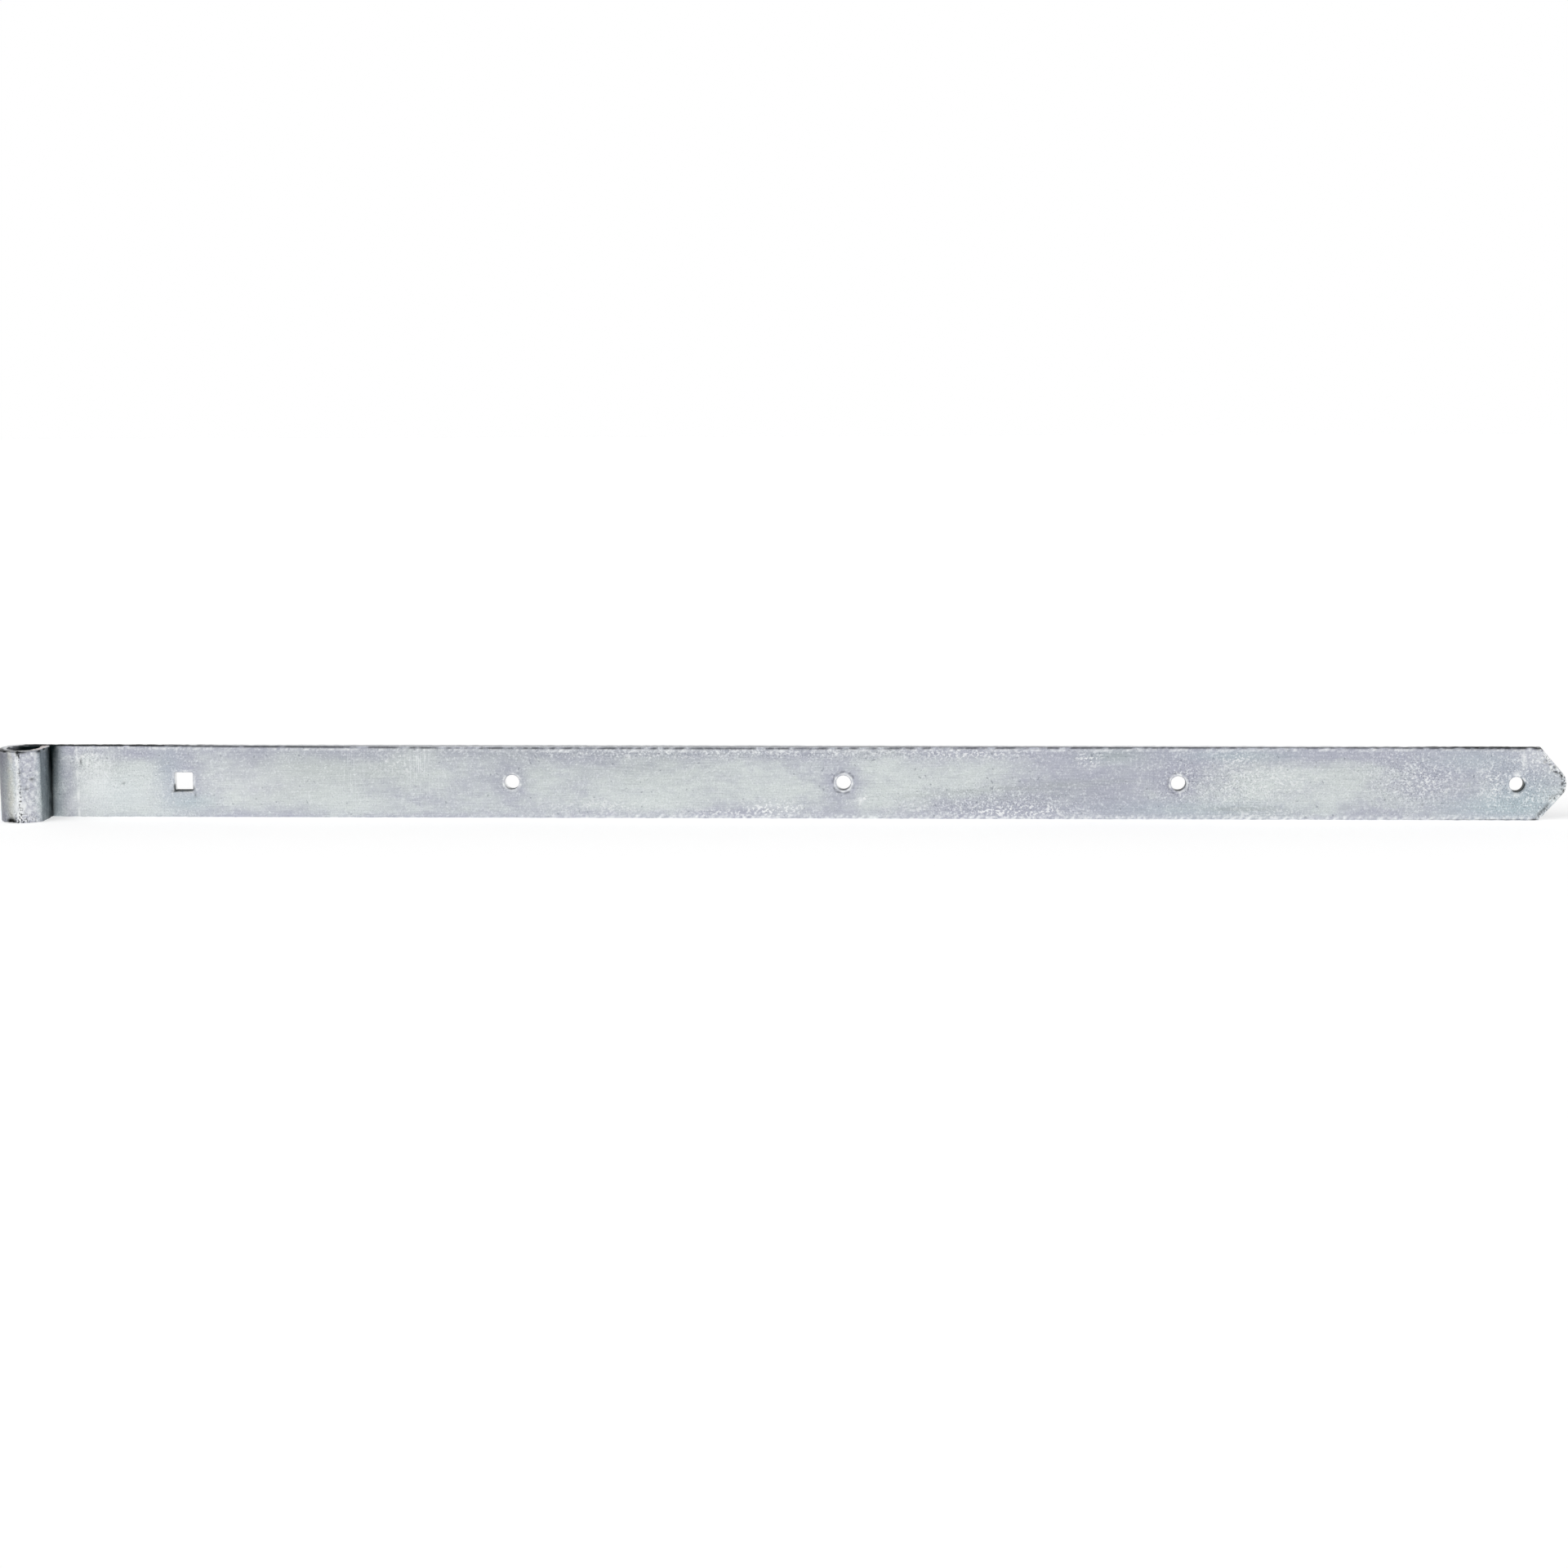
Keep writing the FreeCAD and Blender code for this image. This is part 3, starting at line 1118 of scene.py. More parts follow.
    def layers(self) -> dict[Layer, np.ndarray]:
        """Strengths that the finish reads.

        Most are sums of patches or of strips. Speckle lies thinly all over and thickly on the
        tip's cuts, the edges' narrow faces are bright, and the painted shade round the eye grows
        stronger upwards. Each is held between 0 and 1, where the bloom's middle is a half.

        Returns:
            The strength of each layer at each point.
        """
        places = self.places
        on_end = (np.abs(self.outward[:, 2]) > 0.9) & (places.rim > 1)
        cut_edge = bell(places.tip, 2.0)
        bright_cut = 0.8 * cut_edge * self.uneven(0.7, 0.7, 3, 24)
        layers = {
            Layer.BLOOM: 0.5 + 0.5 * np.clip(self.bloom(), -1, 1),
            Layer.COOL: self.sum_of(self.cooled) + 0.8 * self.by_seam(),
            Layer.WARM: self.round_eye(*self.warmed) * self.uneven(0.75, 0.3, 6, 29),
            Layer.DULL: self.sum_of(self.dulled),
            # Painted shade round the eye, stronger upwards.
            Layer.PAINTED_EYE_SHADE: self.round_eye(*self.eye_shade_strips) * (1 + 0.008 * places.points[:, 2]),
            Layer.SPRAY: self.sum_of(self.sprayed),
            Layer.SPECKLE: self.sum_of(self.speckled) + 0.33 + cut_edge,
            Layer.SCRATCH: self.sum_of(self.scratched),
            # Bright zinc, and painted highlights on the eye, the top edge and the holes' walls.
            Layer.BRIGHT: self.bright() + self.ring(1.0, 0.6, 31) + 0.6 * on_end + bright_cut,
            # Dark steel, and a painted dark reflection along the top edge and the eye's top rim.
            Layer.LINE: self.line(),
            Layer.PITTED: self.pitted(),
            Layer.FRESH: self.fresh() * on_end,
            # Painted shade in the bore, at the seam and in the holes.
            Layer.PAINTED_SHADE: self.shade_in_bore() + self.shade_at_seam() + self.shade_in_holes(),
        }
        return {layer: np.clip(values, 0, 1) for layer, values in layers.items()}

    def bloom(self) -> np.ndarray:
        """Dull zinc: the patches, a halo round each hole, and bands along both long edges.

        The halo and the bands are soft humps of the distance from the rim and the edges. The
        bands' widths wander along the strap, and the lower one is faint next to the eye.

        Returns:
            How dull the zinc is, from -1 where it is palest to 1.
        """
        x, _, z = self.places.points.T
        half_width = self.sizes.half_width
        halo = 0.85 * bell(self.places.rim - 1, 8)
        upper = 1.05 * bell(half_width - z, self.uneven(9.5, 2.5, 90, 14))
        lower = 0.7 * bell(half_width + z, self.uneven(7, 2, 80, 15)) * (1 - 0.8 * bell(x - 40, 70))
        clouds = self.uneven(-0.42, 0.12, 70, 11)
        return self.sum_of(self.blooms) + halo + upper + lower + self.round_eye(*self.shaded) + clouds

    def bright(self) -> np.ndarray:
        """Bright zinc and painted highlights: the eye's ridge and gleams, patches, rims, edges and the
        tool's mark.

        Each is a soft hump of a distance, broken up by waves. The rims' humps lie just outside
        the holes, whose walls carry a painted highlight where they look towards the tip. The top
        edge's lip rises from the dark line outwards, and a fainter stripe lies under that line, both
        painted highlights. The bottom edge's lip starts past the second hole.

        Returns:
            How bright the zinc and its painted highlights are, from 0.
        """
        places, x = self.places, self.places.points[:, 0]
        # Painted highlights on the eye's ridge and gleams.
        ridge = self.round_eye(self.ridge) * self.uneven(0.95, 0.5, 3, 21)
        gleams = self.round_eye(*self.gleams) * self.uneven(0.6, 0.6, 4, 22)
        rims = 0.5 * bell(places.rim - LIP_INSET, 0.6) * (places.rim > 0.1) * self.uneven(0.6, 0.5, 4, 25)
        # Painted highlight on the holes' walls that look towards the tip.
        rims += (places.rim < WALL) * self.to_tip()
        # Painted highlights along the top edge: the lip above the dark line and the stripe under it.
        past_line = places.top - self.line_inset()
        lip = 0.7 * ramp(past_line, -0.5, -1.0) * (places.top > -0.9)
        lip += ramp(x, 250, 450) * bell(places.bottom - 0.8, 2.0) * self.uneven(0.35, 0.35, 3.5, 26)
        under = places.front * bell(past_line - 1.7, 0.8)
        under = under * (self.uneven(0.3, 0.2, 15, 19) + self.uneven(0, 0.3, 3, 35))
        mark = places.front * bell(x - self.bend_line, 0.7) * self.uneven(0.25, 0.4, 12, 17)
        return ridge + gleams + self.sum_of(self.brightened) + rims + lip + mark + under

    def ring(self, distance: float, reach: float, seed: int) -> np.ndarray:
        """A broken ring round the round holes, most round the two in the middle of the strap.

        It is a soft hump of the distance from the rim, times a broad one along the strap, times
        waves with gaps.

        Args:
            distance: How far outside the rim it lies.
            reach: Half its width.
            seed: Seed of its gaps.

        Returns:
            Its strength at each point.
        """
        along = bell(self.places.points[:, 0] - self.ring_middle, 230)
        return bell(self.places.rim - distance, reach) * along * self.broken(0.6, 0.7, 5, seed)

    def by_seam(self) -> np.ndarray:
        """1 on the flank and on the strap's face next to it, fading out with distance."""
        past_eye = np.clip(self.places.points[:, 0] - self.sizes.outer_r, 0, None)
        return self.places.eye * ramp(self.outward[:, 0], 0.6, 0.95) + self.past_seam() * bell(past_eye, 6)

    def pitted(self) -> np.ndarray:
        """Pits in the ridge, round the eye's lower edge, and by the tip's cuts, most at the nose.

        The strip in the ridge is uneven, and the others are soft humps of the distance from the
        edge and from the cuts.

        Returns:
            How pitted the zinc is, from 0.
        """
        places, x = self.places, self.places.points[:, 0]
        ridge = self.round_eye(self.pits) * self.uneven(1.0, 0.25, 8, 20)
        low = places.eye * bell(places.bottom, 6) * bell(x + 1, 11)
        at_nose = bell(x - self.sizes.tip_x, 5)
        return ridge + low + bell(places.tip - 1.4, 1.6) * (0.6 + 0.4 * at_nose)

    def fresh(self) -> np.ndarray:
        """The upper corner of the roll's end, sheared after the bath."""
        x, y, z = self.places.points.T
        corner = (z > 0) & (x > self.fresh_from) & (x < self.sizes.outer_r)
        corner &= (y > self.sizes.flank_start) & (y < self.sizes.bore_r)
        return corner * self.uneven(0.8, 0.3, 3, 18)

    def line_inset(self) -> np.ndarray:
        """How far in from the top edge the dark line lies, straight between the places given."""
        return np.interp(self.places.points[:, 0], *zip(*self.insets))

    def line(self) -> np.ndarray:
        """Dark lines and marks: edges, cuts, marks, nicked spots, and rings round holes. Those along the
        top edge are a painted dark reflection, and two at the square hole's foot painted shade; the
        others are dark steel, where the zinc drew back.

        The eye has only a broken line under its top rim, a painted dark reflection and a soft hump
        with gaps.

        Returns:
            How dark it is at each point, from 0.
        """
        places = self.places
        # Painted dark reflection under the eye's top rim.
        rim = bell(places.top - 0.6, 0.6) * self.broken(0.15, 0.7, 6, 23)
        marks = places.eye * total(self.marks, places.points)
        nicks_and_shade = places.front * (total(self.nicks_and_shade, places.points) + 0.6 * self.ring(2.4, 0.6, 32))
        return np.where(places.eye > 0, rim, self.edge_line()) + marks + nicks_and_shade + self.cut_line()

    def edge_line(self) -> np.ndarray:
        """The dark lines along the strap's long edges, the upper one a painted dark reflection.

        The upper one is a soft hump of the distance from its course, with gaps from waves of two
        lengths. It has fewer gaps near the eye and near the tip, and is broad near the tip, where
        the bottom edge has one too. The top edge's own narrow face is painted with the same dark
        reflection near both ends, and dark and plain parts meet there raggedly, most where the two
        are about even.

        Returns:
            How dark they are at each point, from 0 to 1.
        """
        places, x = self.places, self.places.points[:, 0]
        near_eye, near_tip = bell(x - 60, 180), bell(x - 1015, 60)
        gaps = self.uneven(0.72, 0.4, 6, 13) + self.uneven(0, 0.25, 26, 16)
        gaps = np.clip(gaps + 0.6 * near_eye + 0.3 * near_tip, 0, 1)
        width = 0.7 - 0.1 * near_eye + 0.6 * near_tip
        # The upper line is a painted dark reflection.
        line = bell(places.top - self.line_inset(), width) * (0.8 + 0.2 * near_eye + 0.2 * near_tip)
        line += 0.7 * bell(places.bottom - 0.3, 0.5) * near_tip
        # Painted dark reflection on the top edge's narrow face, near both ends.
        bare = bell(np.clip(x - 75, 0, None), 45) * ramp(x, -8, -2) + 0.9 * bell(x - 1000, 50)
        bare += 1.2 * bare * (1 - bare) * self.uneven(0, 1, 6, 34)
        on_edge = ramp(places.top, 0, -0.5) * (self.outward[:, 2] > 0.6) * bare
        return np.maximum(line * gaps, on_edge)

    def cut_line(self) -> np.ndarray:
        """The dark lines inside the tip's two cuts: faint below, strong and more broken above.

        Both are soft humps of the distance from the cut, times waves with gaps, and each starts
        and ends at its own heights.

        Returns:
            How dark they are at each point, from 0 to 1.
        """
        x, _, z = self.places.points.T
        inset = np.where(z > 0, 2.2, 3.0)
        along = bell(self.places.tip - inset, 0.9) * (x > 1020) * self.places.front
        low = 0.55 * ramp(z, -4, -7) * self.broken(0.9, 0.5, 5, 27)
        high = 0.75 * (z > 3) * ramp(z, 19, 16) * self.broken(-0.1, 1, 3.4, 28)
        return along * (low + high)

    def shade_in_bore(self) -> np.ndarray:
        """Painted shade in the bore, which darkens with depth from either mouth.

        It darkens later where it catches light at its left, by a soft hump along the strap times
        a straight fall with depth.

        Returns:
            How dark it is at each point, from 0 to 1.
        """
        sizes = self.sizes
        x, y, z = self.places.points.T
        skin = sizes.bore_r + 0.45
        inside = (self.places.away < skin) & (x < sizes.flank_outer) & (y < skin)
        deep = sizes.half_width - np.abs(z)
        lit = 0.95 * bell(x + sizes.bore_r, 3.2) * ramp(deep, 6, 0)
        return inside * ramp(deep, 0.15, 0.65) * (1 - lit)

    def shade_at_seam(self) -> np.ndarray:
        """Painted shade on both sides of the seam, which get little light.

        The flank darkens towards the seam, by a power of the height up it, and a little more in
        the middle of its upper half than below. The strap's face is darkest at the seam and fades
        out past it, by a steep hump that is wider at the top and a narrow one.

        Returns:
            How dark they are at each point, from 0 to 1.
        """
        sizes = self.sizes
        x, y, z = self.places.points.T
        past = np.clip(x - sizes.flank_outer - SKIN_DEPTH, 0, None)
        steep = np.exp(-((past / (4.9 + 0.07 * z)) ** 3))
        corner = (0.56 + 0.020 * z) * steep + 0.35 * bell(past, 0.8)
        up = ramp(y, sizes.flank_start, 10.5)
        taper = np.where(z > 0, 0.014, 0.004) * z * bell(up - 0.5, 0.3)
        uneven = 0.05 * waves(self.places.points * (1, 1, 0.4), 3.5, 33)
        flank = self.places.eye * ramp(self.outward[:, 0] - 0.001 * z, 0.72, 0.98)
        return self.past_seam() * corner + flank * (0.38 + 0.75 * up**1.85 - taper + uneven)

    def shade_in_holes(self) -> np.ndarray:
        """Painted shade on the holes' walls, but for the side that looks towards the tip, and at the
        foot of each rim.

        The foot's shade is a soft hump of the distance from the rim, on the side that leans away
        from the lamp, which turns with the hole's place along the strap.

        Returns:
            How dark they are at each point, from 0 to 1.
        """
        places, sizes = self.places, self.sizes
        x, y, z = places.points.T
        wall = (places.rim < WALL) & (y > sizes.bore_r + 0.2) & (y < sizes.outer_r - 0.2)
        wall = wall * (1 - 0.95 * self.to_tip()) * (0.55 + 0.45 * places.shade)
        lean = np.clip((x - 400) / 800, -0.1, 0.75)
        foot = ramp(lean * places.beside - z, 1.5, 3.5)
        return wall + places.shade * places.front * bell(places.rim, 0.4 + 0.7 * places.shade) * foot


def linear(code: str) -> tuple[float, float, float, float]:
    """Turns a screen colour into linear light, by the usual curve of screens.

    Args:
        code: The colour as six hexadecimal digits.

    Returns:
        Its red, green and blue, and a full alpha.
    """
    parts = np.array([int(code[at : at + 2], 16) / 255 for at in (0, 2, 4)])
    light = np.where(parts <= 0.04045, parts / 12.92, ((parts + 0.055) / 1.055) ** 2.4)
    return (*light.tolist(), 1.0)


def add_node(
    tree: bpy.types.NodeTree, kind: str, sockets: dict | None = None, out: int | str = 0, **options
) -> bpy.types.NodeSocket | None:
    """Adds a node with its settings and links.

    Args:
        tree: The node tree.
        kind: The node's type.
        sockets: Values or links for its inputs, by name or number.
        out: Name or number of the output that is wanted.
        options: The node's own settings.

    Returns:
        That output, or nothing for a node that has none.
    """
    node = tree.nodes.new(kind)
    for name, value in options.items():
        setattr(node, name, value)
    for key, value in (sockets or {}).items():
        if isinstance(value, bpy.types.NodeSocket):
            tree.links.new(value, node.inputs[key])
        else:
            node.inputs[key].default_value = value
    return node.outputs[out] if node.outputs else None


@dataclass(frozen=True)
class Grain:
    """Noise whose grains have one length along the strap, through it and up it.

    Args:
        size: The three lengths in millimetres.
        detail: How many finer layers of noise break up the first.
    """

    size: tuple[float, float, float]
    detail: float = 2.0

    @classmethod
    def even(cls, length: float, detail: float = 2.0) -> "Grain":
        """Grains that are as long every way."""
        return cls((length, length, length), detail)

    def drawn(self, tree: bpy.types.NodeTree, place: bpy.types.NodeSocket) -> bpy.types.NodeSocket:
        """Draws the noise.

        Args:
            tree: The node tree.
            place: Places in millimetres.

        Returns:
            Its values, about a half.
        """
        scale = tuple(1 / length for length in self.size)
        where = add_node(tree, "ShaderNodeMapping", {"Vector": place, "Scale": scale})
        return add_node(tree, "ShaderNodeTexNoise", {"Vector": where, "Scale": 1.0, "Detail": self.detail})


@dataclass(frozen=True)
class Coat:
    """One thing that shows in the zinc, laid over what is below it.

    Args:
        colour: Its colour.
        strength: How much of what is below it covers where it is full.
        layer: The mesh's layer that says where it lies, or none where it lies all over.
        grain: The noise that breaks it up, or none where it is smooth.
        window: The noise's values at which it starts and is full.
        sunk: How deep it lies, in millimetres.
        rough: Its roughness, or none where it is as rough as what is below it.
    """

    colour: str
    strength: float
    layer: Layer | None = None
    grain: Grain | None = None
    window: tuple[float, float] = (0.5, 0.6)
    sunk: float = 0.0
    rough: float | None = None

    def mask(self, tree: bpy.types.NodeTree, place: bpy.types.NodeSocket) -> bpy.types.NodeSocket:
        """Where the coat lies: its strength times its layer times its noise cut to the window.

        Args:
            tree: The node tree.
            place: Places in millimetres.

        Returns:
            How much of what is below is covered.
        """
        mask = self.strength
        if self.layer:
            layer = add_node(tree, "ShaderNodeAttribute", out="Fac", attribute_name=self.layer.value)
            mask = add_node(tree, "ShaderNodeMath", {0: layer, 1: mask}, operation="MULTIPLY")
        if self.grain:
            mask = add_node(tree, "ShaderNodeMapRange", {
                "Value": self.grain.drawn(tree, place),
                "From Min": self.window[0],
                "From Max": self.window[1],
                "To Max": mask,
            }, interpolation_type="SMOOTHSTEP")
        return mask


# The light and the dark zinc of the small marks, and the two grains that several coats share.
WHITE_ZINC = "EEF1F3"
GREY_ZINC = "6E7480"
CRYSTALS = Grain.even(1.3, 3)
ROLLED = Grain((14, 1, 0.9), 3)


@dataclass(frozen=True)
class GalvanisedSteel:
    """Hot-dip galvanised steel: a flat bar dipped in molten zinc and left to dull in the weather.

    The bath leaves a grey-white skin, mottled where it cooled unevenly and rough to a few
    hundredths of a millimetre. The eye sees cloudy patches of greenish white and lavender, a fine
    speckle, faint lines along the rolled bar, and soft, dull reflections.

    The patterns have the sizes of the real skin's marks. Its crystals and pits are a few tenths of
    a millimetre wide, and its scratches and rolled lines less, which is too fine to show in the
    render, where a pixel covers half a millimetre. They are drawn as coarse as they need to show:
    crystals, pits and lines about a millimetre wide, and scratches about half of one.

    Args:
        name: The material's name.
        pale: Greenish white of the bright zinc.
        lavender: Lavender grey of the duller zinc.
        clouds: The broad patches and the small ones, with how far each shifts the tone.
        coats: What shows in the zinc, painted highlights and shade among it, from the lowest up.
        lumps: Height of the small clouds, in millimetres.
        roughness: Middle roughness.
        rough_swing: How much the roughness follows the small clouds.
        metallic: How much of the skin is bare metal rather than dull oxide.
    """

    name: str = "hot_dip_galvanised_steel"
    pale: str = "D4DAD9"
    lavender: str = "B2B4C1"
    clouds: tuple[tuple[Grain, float], ...] = (
        (Grain((46, 14, 14), 3), 0.9),
        (Grain((6, 4.5, 4.5), 4), 0.7),
    )
    coats: tuple[Coat, ...] = (
        Coat("B6C6CC", 0.8, Layer.COOL),
        Coat("D6D3C4", 0.55, Layer.WARM),
        Coat("A2A8A8", 0.6, Layer.DULL),
        Coat("666C78", 0.62, Layer.SPECKLE, Grain.even(0.9), (0.50, 0.66), 0.03),
        Coat("F0F3F5", 0.66, Layer.SPECKLE, CRYSTALS, (0.52, 0.68)),
        Coat(WHITE_ZINC, 0.18, None, CRYSTALS, (0.52, 0.68)),
        Coat(GREY_ZINC, 0.16, None, ROLLED, (0.45, 0.75)),
        Coat(WHITE_ZINC, 0.16, None, ROLLED, (0.50, 0.25)),
        Coat(WHITE_ZINC, 0.75, Layer.SCRATCH, Grain((0.45, 1, 26), 1), (0.58, 0.66)),
        Coat(GREY_ZINC, 0.45, None, Grain.even(2.4, 0), (0.80, 0.86), 0.08),
        Coat(WHITE_ZINC, 0.7, None, Grain((2.8, 1.6, 1.6), 1), (0.26, 0.20)),
        # Bright zinc, and painted highlights on the eye, the top edge and the holes' walls.
        Coat("F5F7F7", 0.88, Layer.BRIGHT),
        Coat("F7F8F8", 0.95, Layer.SPRAY, Grain((2.0, 1.3, 1.4), 2), (0.55, 0.61)),
        # Painted shade round the eye, down its left side and at its crease.
        Coat("302E38", 1.0, Layer.PAINTED_EYE_SHADE),
        # Dark steel, and a painted dark reflection along the top edge and the eye's top rim.
        Coat("141516", 0.95, Layer.LINE, rough=0.95),
        Coat("121517", 0.95, Layer.PITTED, Grain((1.1, 1.1, 1.5), 1), (0.54, 0.59), 0.10),
        Coat("F4E9E6", 0.9, Layer.FRESH),
        # Painted shade in the bore, at the seam and on the holes' walls and feet.
        Coat("08181A", 1.0, Layer.PAINTED_SHADE),
    )
    lumps: float = 0.10
    roughness: float = 0.42
    rough_swing: float = 0.25
    metallic: float = 0.9

    def made(self) -> bpy.types.Material:
        """Builds the material.

        The tone is the mesh's bloom plus the clouds, and runs from pale to lavender. Each coat is
        mixed over it in turn, sinks the surface where it is sunk, and roughens it where it is
        rough. Elsewhere the roughness follows the small clouds.

        Returns:
            The material.
        """
        material = bpy.data.materials.new(self.name)
        material.use_nodes = True
        tree = material.node_tree
        metres = add_node(tree, "ShaderNodeTexCoord", out="Object")
        place = add_node(tree, "ShaderNodeVectorMath", {0: metres, "Scale": 1 / MM}, operation="SCALE")
        tone = add_node(tree, "ShaderNodeAttribute", out="Fac", attribute_name=Layer.BLOOM.value)
        swing = 0.0
        for grain, share in self.clouds:
            small = grain.drawn(tree, place)
            tone = add_node(tree, "ShaderNodeMath", {0: small, 1: share, 2: tone}, operation="MULTIPLY_ADD")
            swing += share / 2
        tone = add_node(tree, "ShaderNodeMapRange", {
            "Value": tone, "From Min": swing, "From Max": 1 + swing}, interpolation_type="SMOOTHSTEP")
        colour = add_node(tree, "ShaderNodeMix", {
            0: tone, 6: linear(self.pale), 7: linear(self.lavender)}, 2, data_type="RGBA")
        height = add_node(tree, "ShaderNodeMath", {0: small, 1: self.lumps}, operation="MULTIPLY")
        rough = add_node(tree, "ShaderNodeMath", {
            0: small, 1: self.rough_swing, 2: self.roughness - self.rough_swing / 2,
        }, operation="MULTIPLY_ADD")
        for coat in self.coats:
            mask = coat.mask(tree, place)
            colour = add_node(tree, "ShaderNodeMix", {0: mask, 6: colour, 7: linear(coat.colour)}, 2,
                              data_type="RGBA")
            if coat.sunk:
                height = add_node(tree, "ShaderNodeMath", {0: mask, 1: -coat.sunk, 2: height},
                                  operation="MULTIPLY_ADD")
            if coat.rough:
                rough = add_node(tree, "ShaderNodeMix", {0: mask, 2: rough, 3: coat.rough})
        bump = add_node(tree, "ShaderNodeBump", {"Strength": 1.0, "Distance": MM, "Height": height})
        shader = tree.nodes["Principled BSDF"]
        shader.inputs["Metallic"].default_value = self.metallic
        for name, value in (("Base Color", colour), ("Roughness", rough), ("Normal", bump)):
            tree.links.new(value, shader.inputs[name])
        return material


@dataclass(frozen=True)
class Lamp:
    """A far, broad lamp.

    Args:
        name: Its name.
        strength: How strong it is.
        width: How wide it looks, in degrees.
        towards: The way its light goes.
    """

    name: str
    strength: float
    width: float
    towards: tuple[float, float, float]

    def hung(self) -> None:
        """Makes the lamp and turns it the way its light goes."""
        lamp = bpy.data.lights.new(self.name, "SUN")
        lamp.energy = self.strength
        lamp.angle = np.radians(self.width)
        holder = bpy.data.objects.new(self.name, lamp)
        holder.rotation_mode = "QUATERNION"
        holder.rotation_quaternion = Vector(self.towards).to_track_quat("-Z", "Y")
        bpy.context.scene.collection.objects.link(holder)


@dataclass(frozen=True)
class Studio:
    """Plain pale floor, a sky that is white near the ground and grey overhead, and soft lamps.

    Args:
        floor_z: Height of the floor.
        floor_half: Half the floor's side.
        floor_colour: Colour of the floor.
        floor_glow: Part of white that the floor gives to the camera and to reflections.
        overhead: Grey of the sky straight up.
        white_below: Height of a direction, from 0 to 1, up to which the sky is white.
        grey_above: Height from which it is grey.
        lamps: A key lamp from the left, in front and above, and a weak fill from the right.
    """

    floor_z: float = -25.0
    floor_half: float = 6000.0
    floor_colour: str = "E0E0E0"
    floor_glow: float = 0.48
    overhead: str = "666666"
    white_below: float = 0.30
    grey_above: float = 0.85
    lamps: tuple[Lamp, ...] = (
        Lamp("key", 1.3, 50, (0.62, 0.52, -0.58)),
        Lamp("fill", 0.25, 80, (-0.6, 0.6, -0.5)),
    )

    def floor(self) -> None:
        """Lays a flat square under the band.

        Its glow reaches the camera and reflections, so the background is white, while its plain
        colour takes the band's shadow.
        """
        reach = self.floor_half * MM
        corners = [(-reach, -reach), (reach, -reach), (reach, reach), (-reach, reach)]
        mesh = bpy.data.meshes.new("floor")
        mesh.from_pydata([(x, y, self.floor_z * MM) for x, y in corners], [], [(0, 1, 2, 3)])
        floor = bpy.data.objects.new("floor", mesh)
        bpy.context.scene.collection.objects.link(floor)
        material = bpy.data.materials.new("pale_studio_floor")
        material.use_nodes = True
        tree = material.node_tree
        tree.nodes.clear()
        seen = add_node(tree, "ShaderNodeLightPath", out="Is Camera Ray")
        for ray in ("Is Glossy Ray", "Is Transmission Ray"):
            seen = add_node(tree, "ShaderNodeMath", {
                0: seen, 1: add_node(tree, "ShaderNodeLightPath", out=ray)}, operation="MAXIMUM")
        glow = add_node(tree, "ShaderNodeMath", {0: seen, 1: self.floor_glow}, operation="MULTIPLY")
        white = add_node(tree, "ShaderNodeEmission", {"Strength": glow})
        plain = add_node(tree, "ShaderNodeBsdfDiffuse", {"Color": linear(self.floor_colour)})
        both = add_node(tree, "ShaderNodeAddShader", {0: white, 1: plain})
        add_node(tree, "ShaderNodeOutputMaterial", {"Surface": both})
        mesh.materials.append(material)
        log.info("floor at %.1f mm", self.floor_z)

    def sky(self) -> None:
        """Makes the sky: white near the ground, then falling to a grey."""
        world = bpy.data.worlds.new("studio_sky")
        bpy.context.scene.world = world
        world.use_nodes = True
        tree = world.node_tree
        tree.nodes.clear()
        ray = add_node(tree, "ShaderNodeTexCoord", out="Generated")
        up = add_node(tree, "ShaderNodeSeparateXYZ", {"Vector": ray}, "Z")
        high = add_node(tree, "ShaderNodeMapRange", {
            "Value": up, "From Min": self.white_below, "From Max": self.grey_above,
        }, interpolation_type="SMOOTHSTEP")
        grey = add_node(tree, "ShaderNodeMix", {
            0: high, 6: (1, 1, 1, 1), 7: linear(self.overhead)}, 2, data_type="RGBA")
        light = add_node(tree, "ShaderNodeBackground", {"Color": grey, "Strength": 1.0})
        add_node(tree, "ShaderNodeOutputWorld", {"Surface": light})


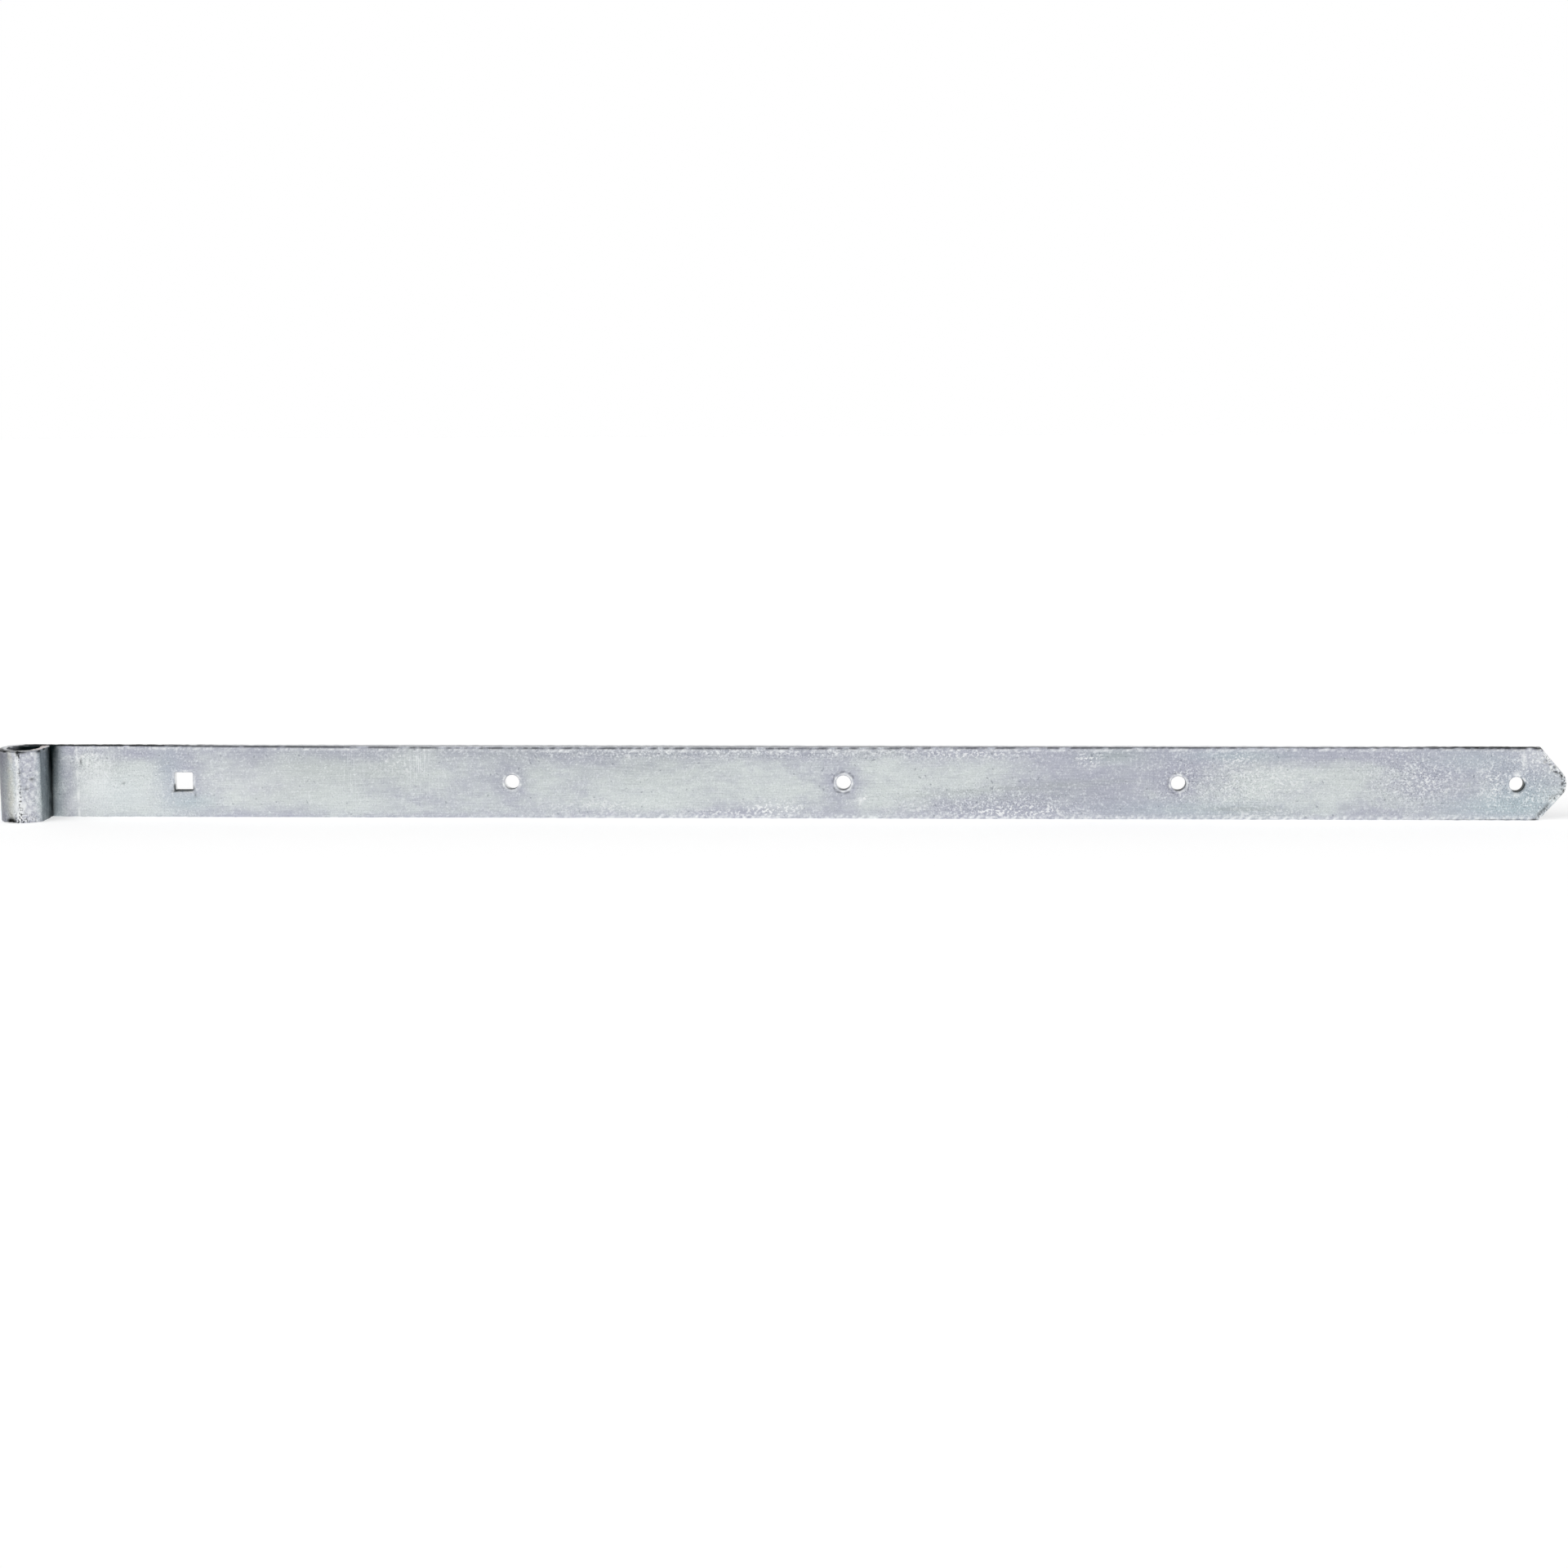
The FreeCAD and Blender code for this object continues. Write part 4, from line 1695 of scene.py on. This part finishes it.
@dataclass(frozen=True)
class PhotographCamera:
    """The camera at the photograph's viewing angle, from a fit to the strap's corners and holes.

    Args:
        aim: The place it looks at.
        distance: How far from there it stands.
        yaw: Turn about the vertical.
        pitch: Rise above the horizontal.
        roll: Turn about its own axis.
        focal_pixels: Focal length in pixels of the photograph.
        frame_pixels: The photograph's side in pixels.
        sensor: Width of the sensor.
        near: Distance from which it sees.
        far: Distance up to which it sees.
    """

    aim: tuple[float, float, float] = (521.472, 10.75, -0.942)
    distance: float = 2000.0
    yaw: float = np.radians(2.592)
    pitch: float = np.radians(9.257)
    roll: float = np.radians(-0.296)
    focal_pixels: float = 3586.609
    frame_pixels: float = 1920.0
    sensor: float = 36.0
    near: float = 100.0
    far: float = 50000.0

    def placed(self) -> None:
        """Makes the camera, puts it in place and gives it to the scene."""
        flat = np.cos(self.pitch)
        back = Vector((np.sin(self.yaw) * flat, -np.cos(self.yaw) * flat, np.sin(self.pitch)))
        right = Vector((np.cos(self.yaw), np.sin(self.yaw), 0))
        up = back.cross(right)
        across = right * np.cos(self.roll) + up * np.sin(self.roll)
        upward = up * np.cos(self.roll) - right * np.sin(self.roll)
        data = bpy.data.cameras.new("photograph_camera")
        data.sensor_width = self.sensor
        data.lens = self.focal_pixels / self.frame_pixels * self.sensor
        data.clip_start, data.clip_end = self.near * MM, self.far * MM
        camera = bpy.data.objects.new("photograph_camera", data)
        turn = Matrix((across, upward, back)).transposed().to_4x4()
        where = (Vector(self.aim) + back * self.distance) * MM
        camera.matrix_world = Matrix.Translation(where) @ turn
        bpy.context.scene.collection.objects.link(camera)
        bpy.context.scene.camera = camera


def main() -> None:
    """Loads the frame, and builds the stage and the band."""
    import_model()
    scene = bpy.context.scene
    scene.view_settings.view_transform = "Standard"
    PhotographCamera().placed()
    studio = Studio()
    studio.floor()
    studio.sky()
    for lamp in studio.lamps:
        lamp.hung()
    GalvanisedBand(BandSizes(), GalvanisedSteel().made()).shown()


if __name__ == "__main__":
    main()
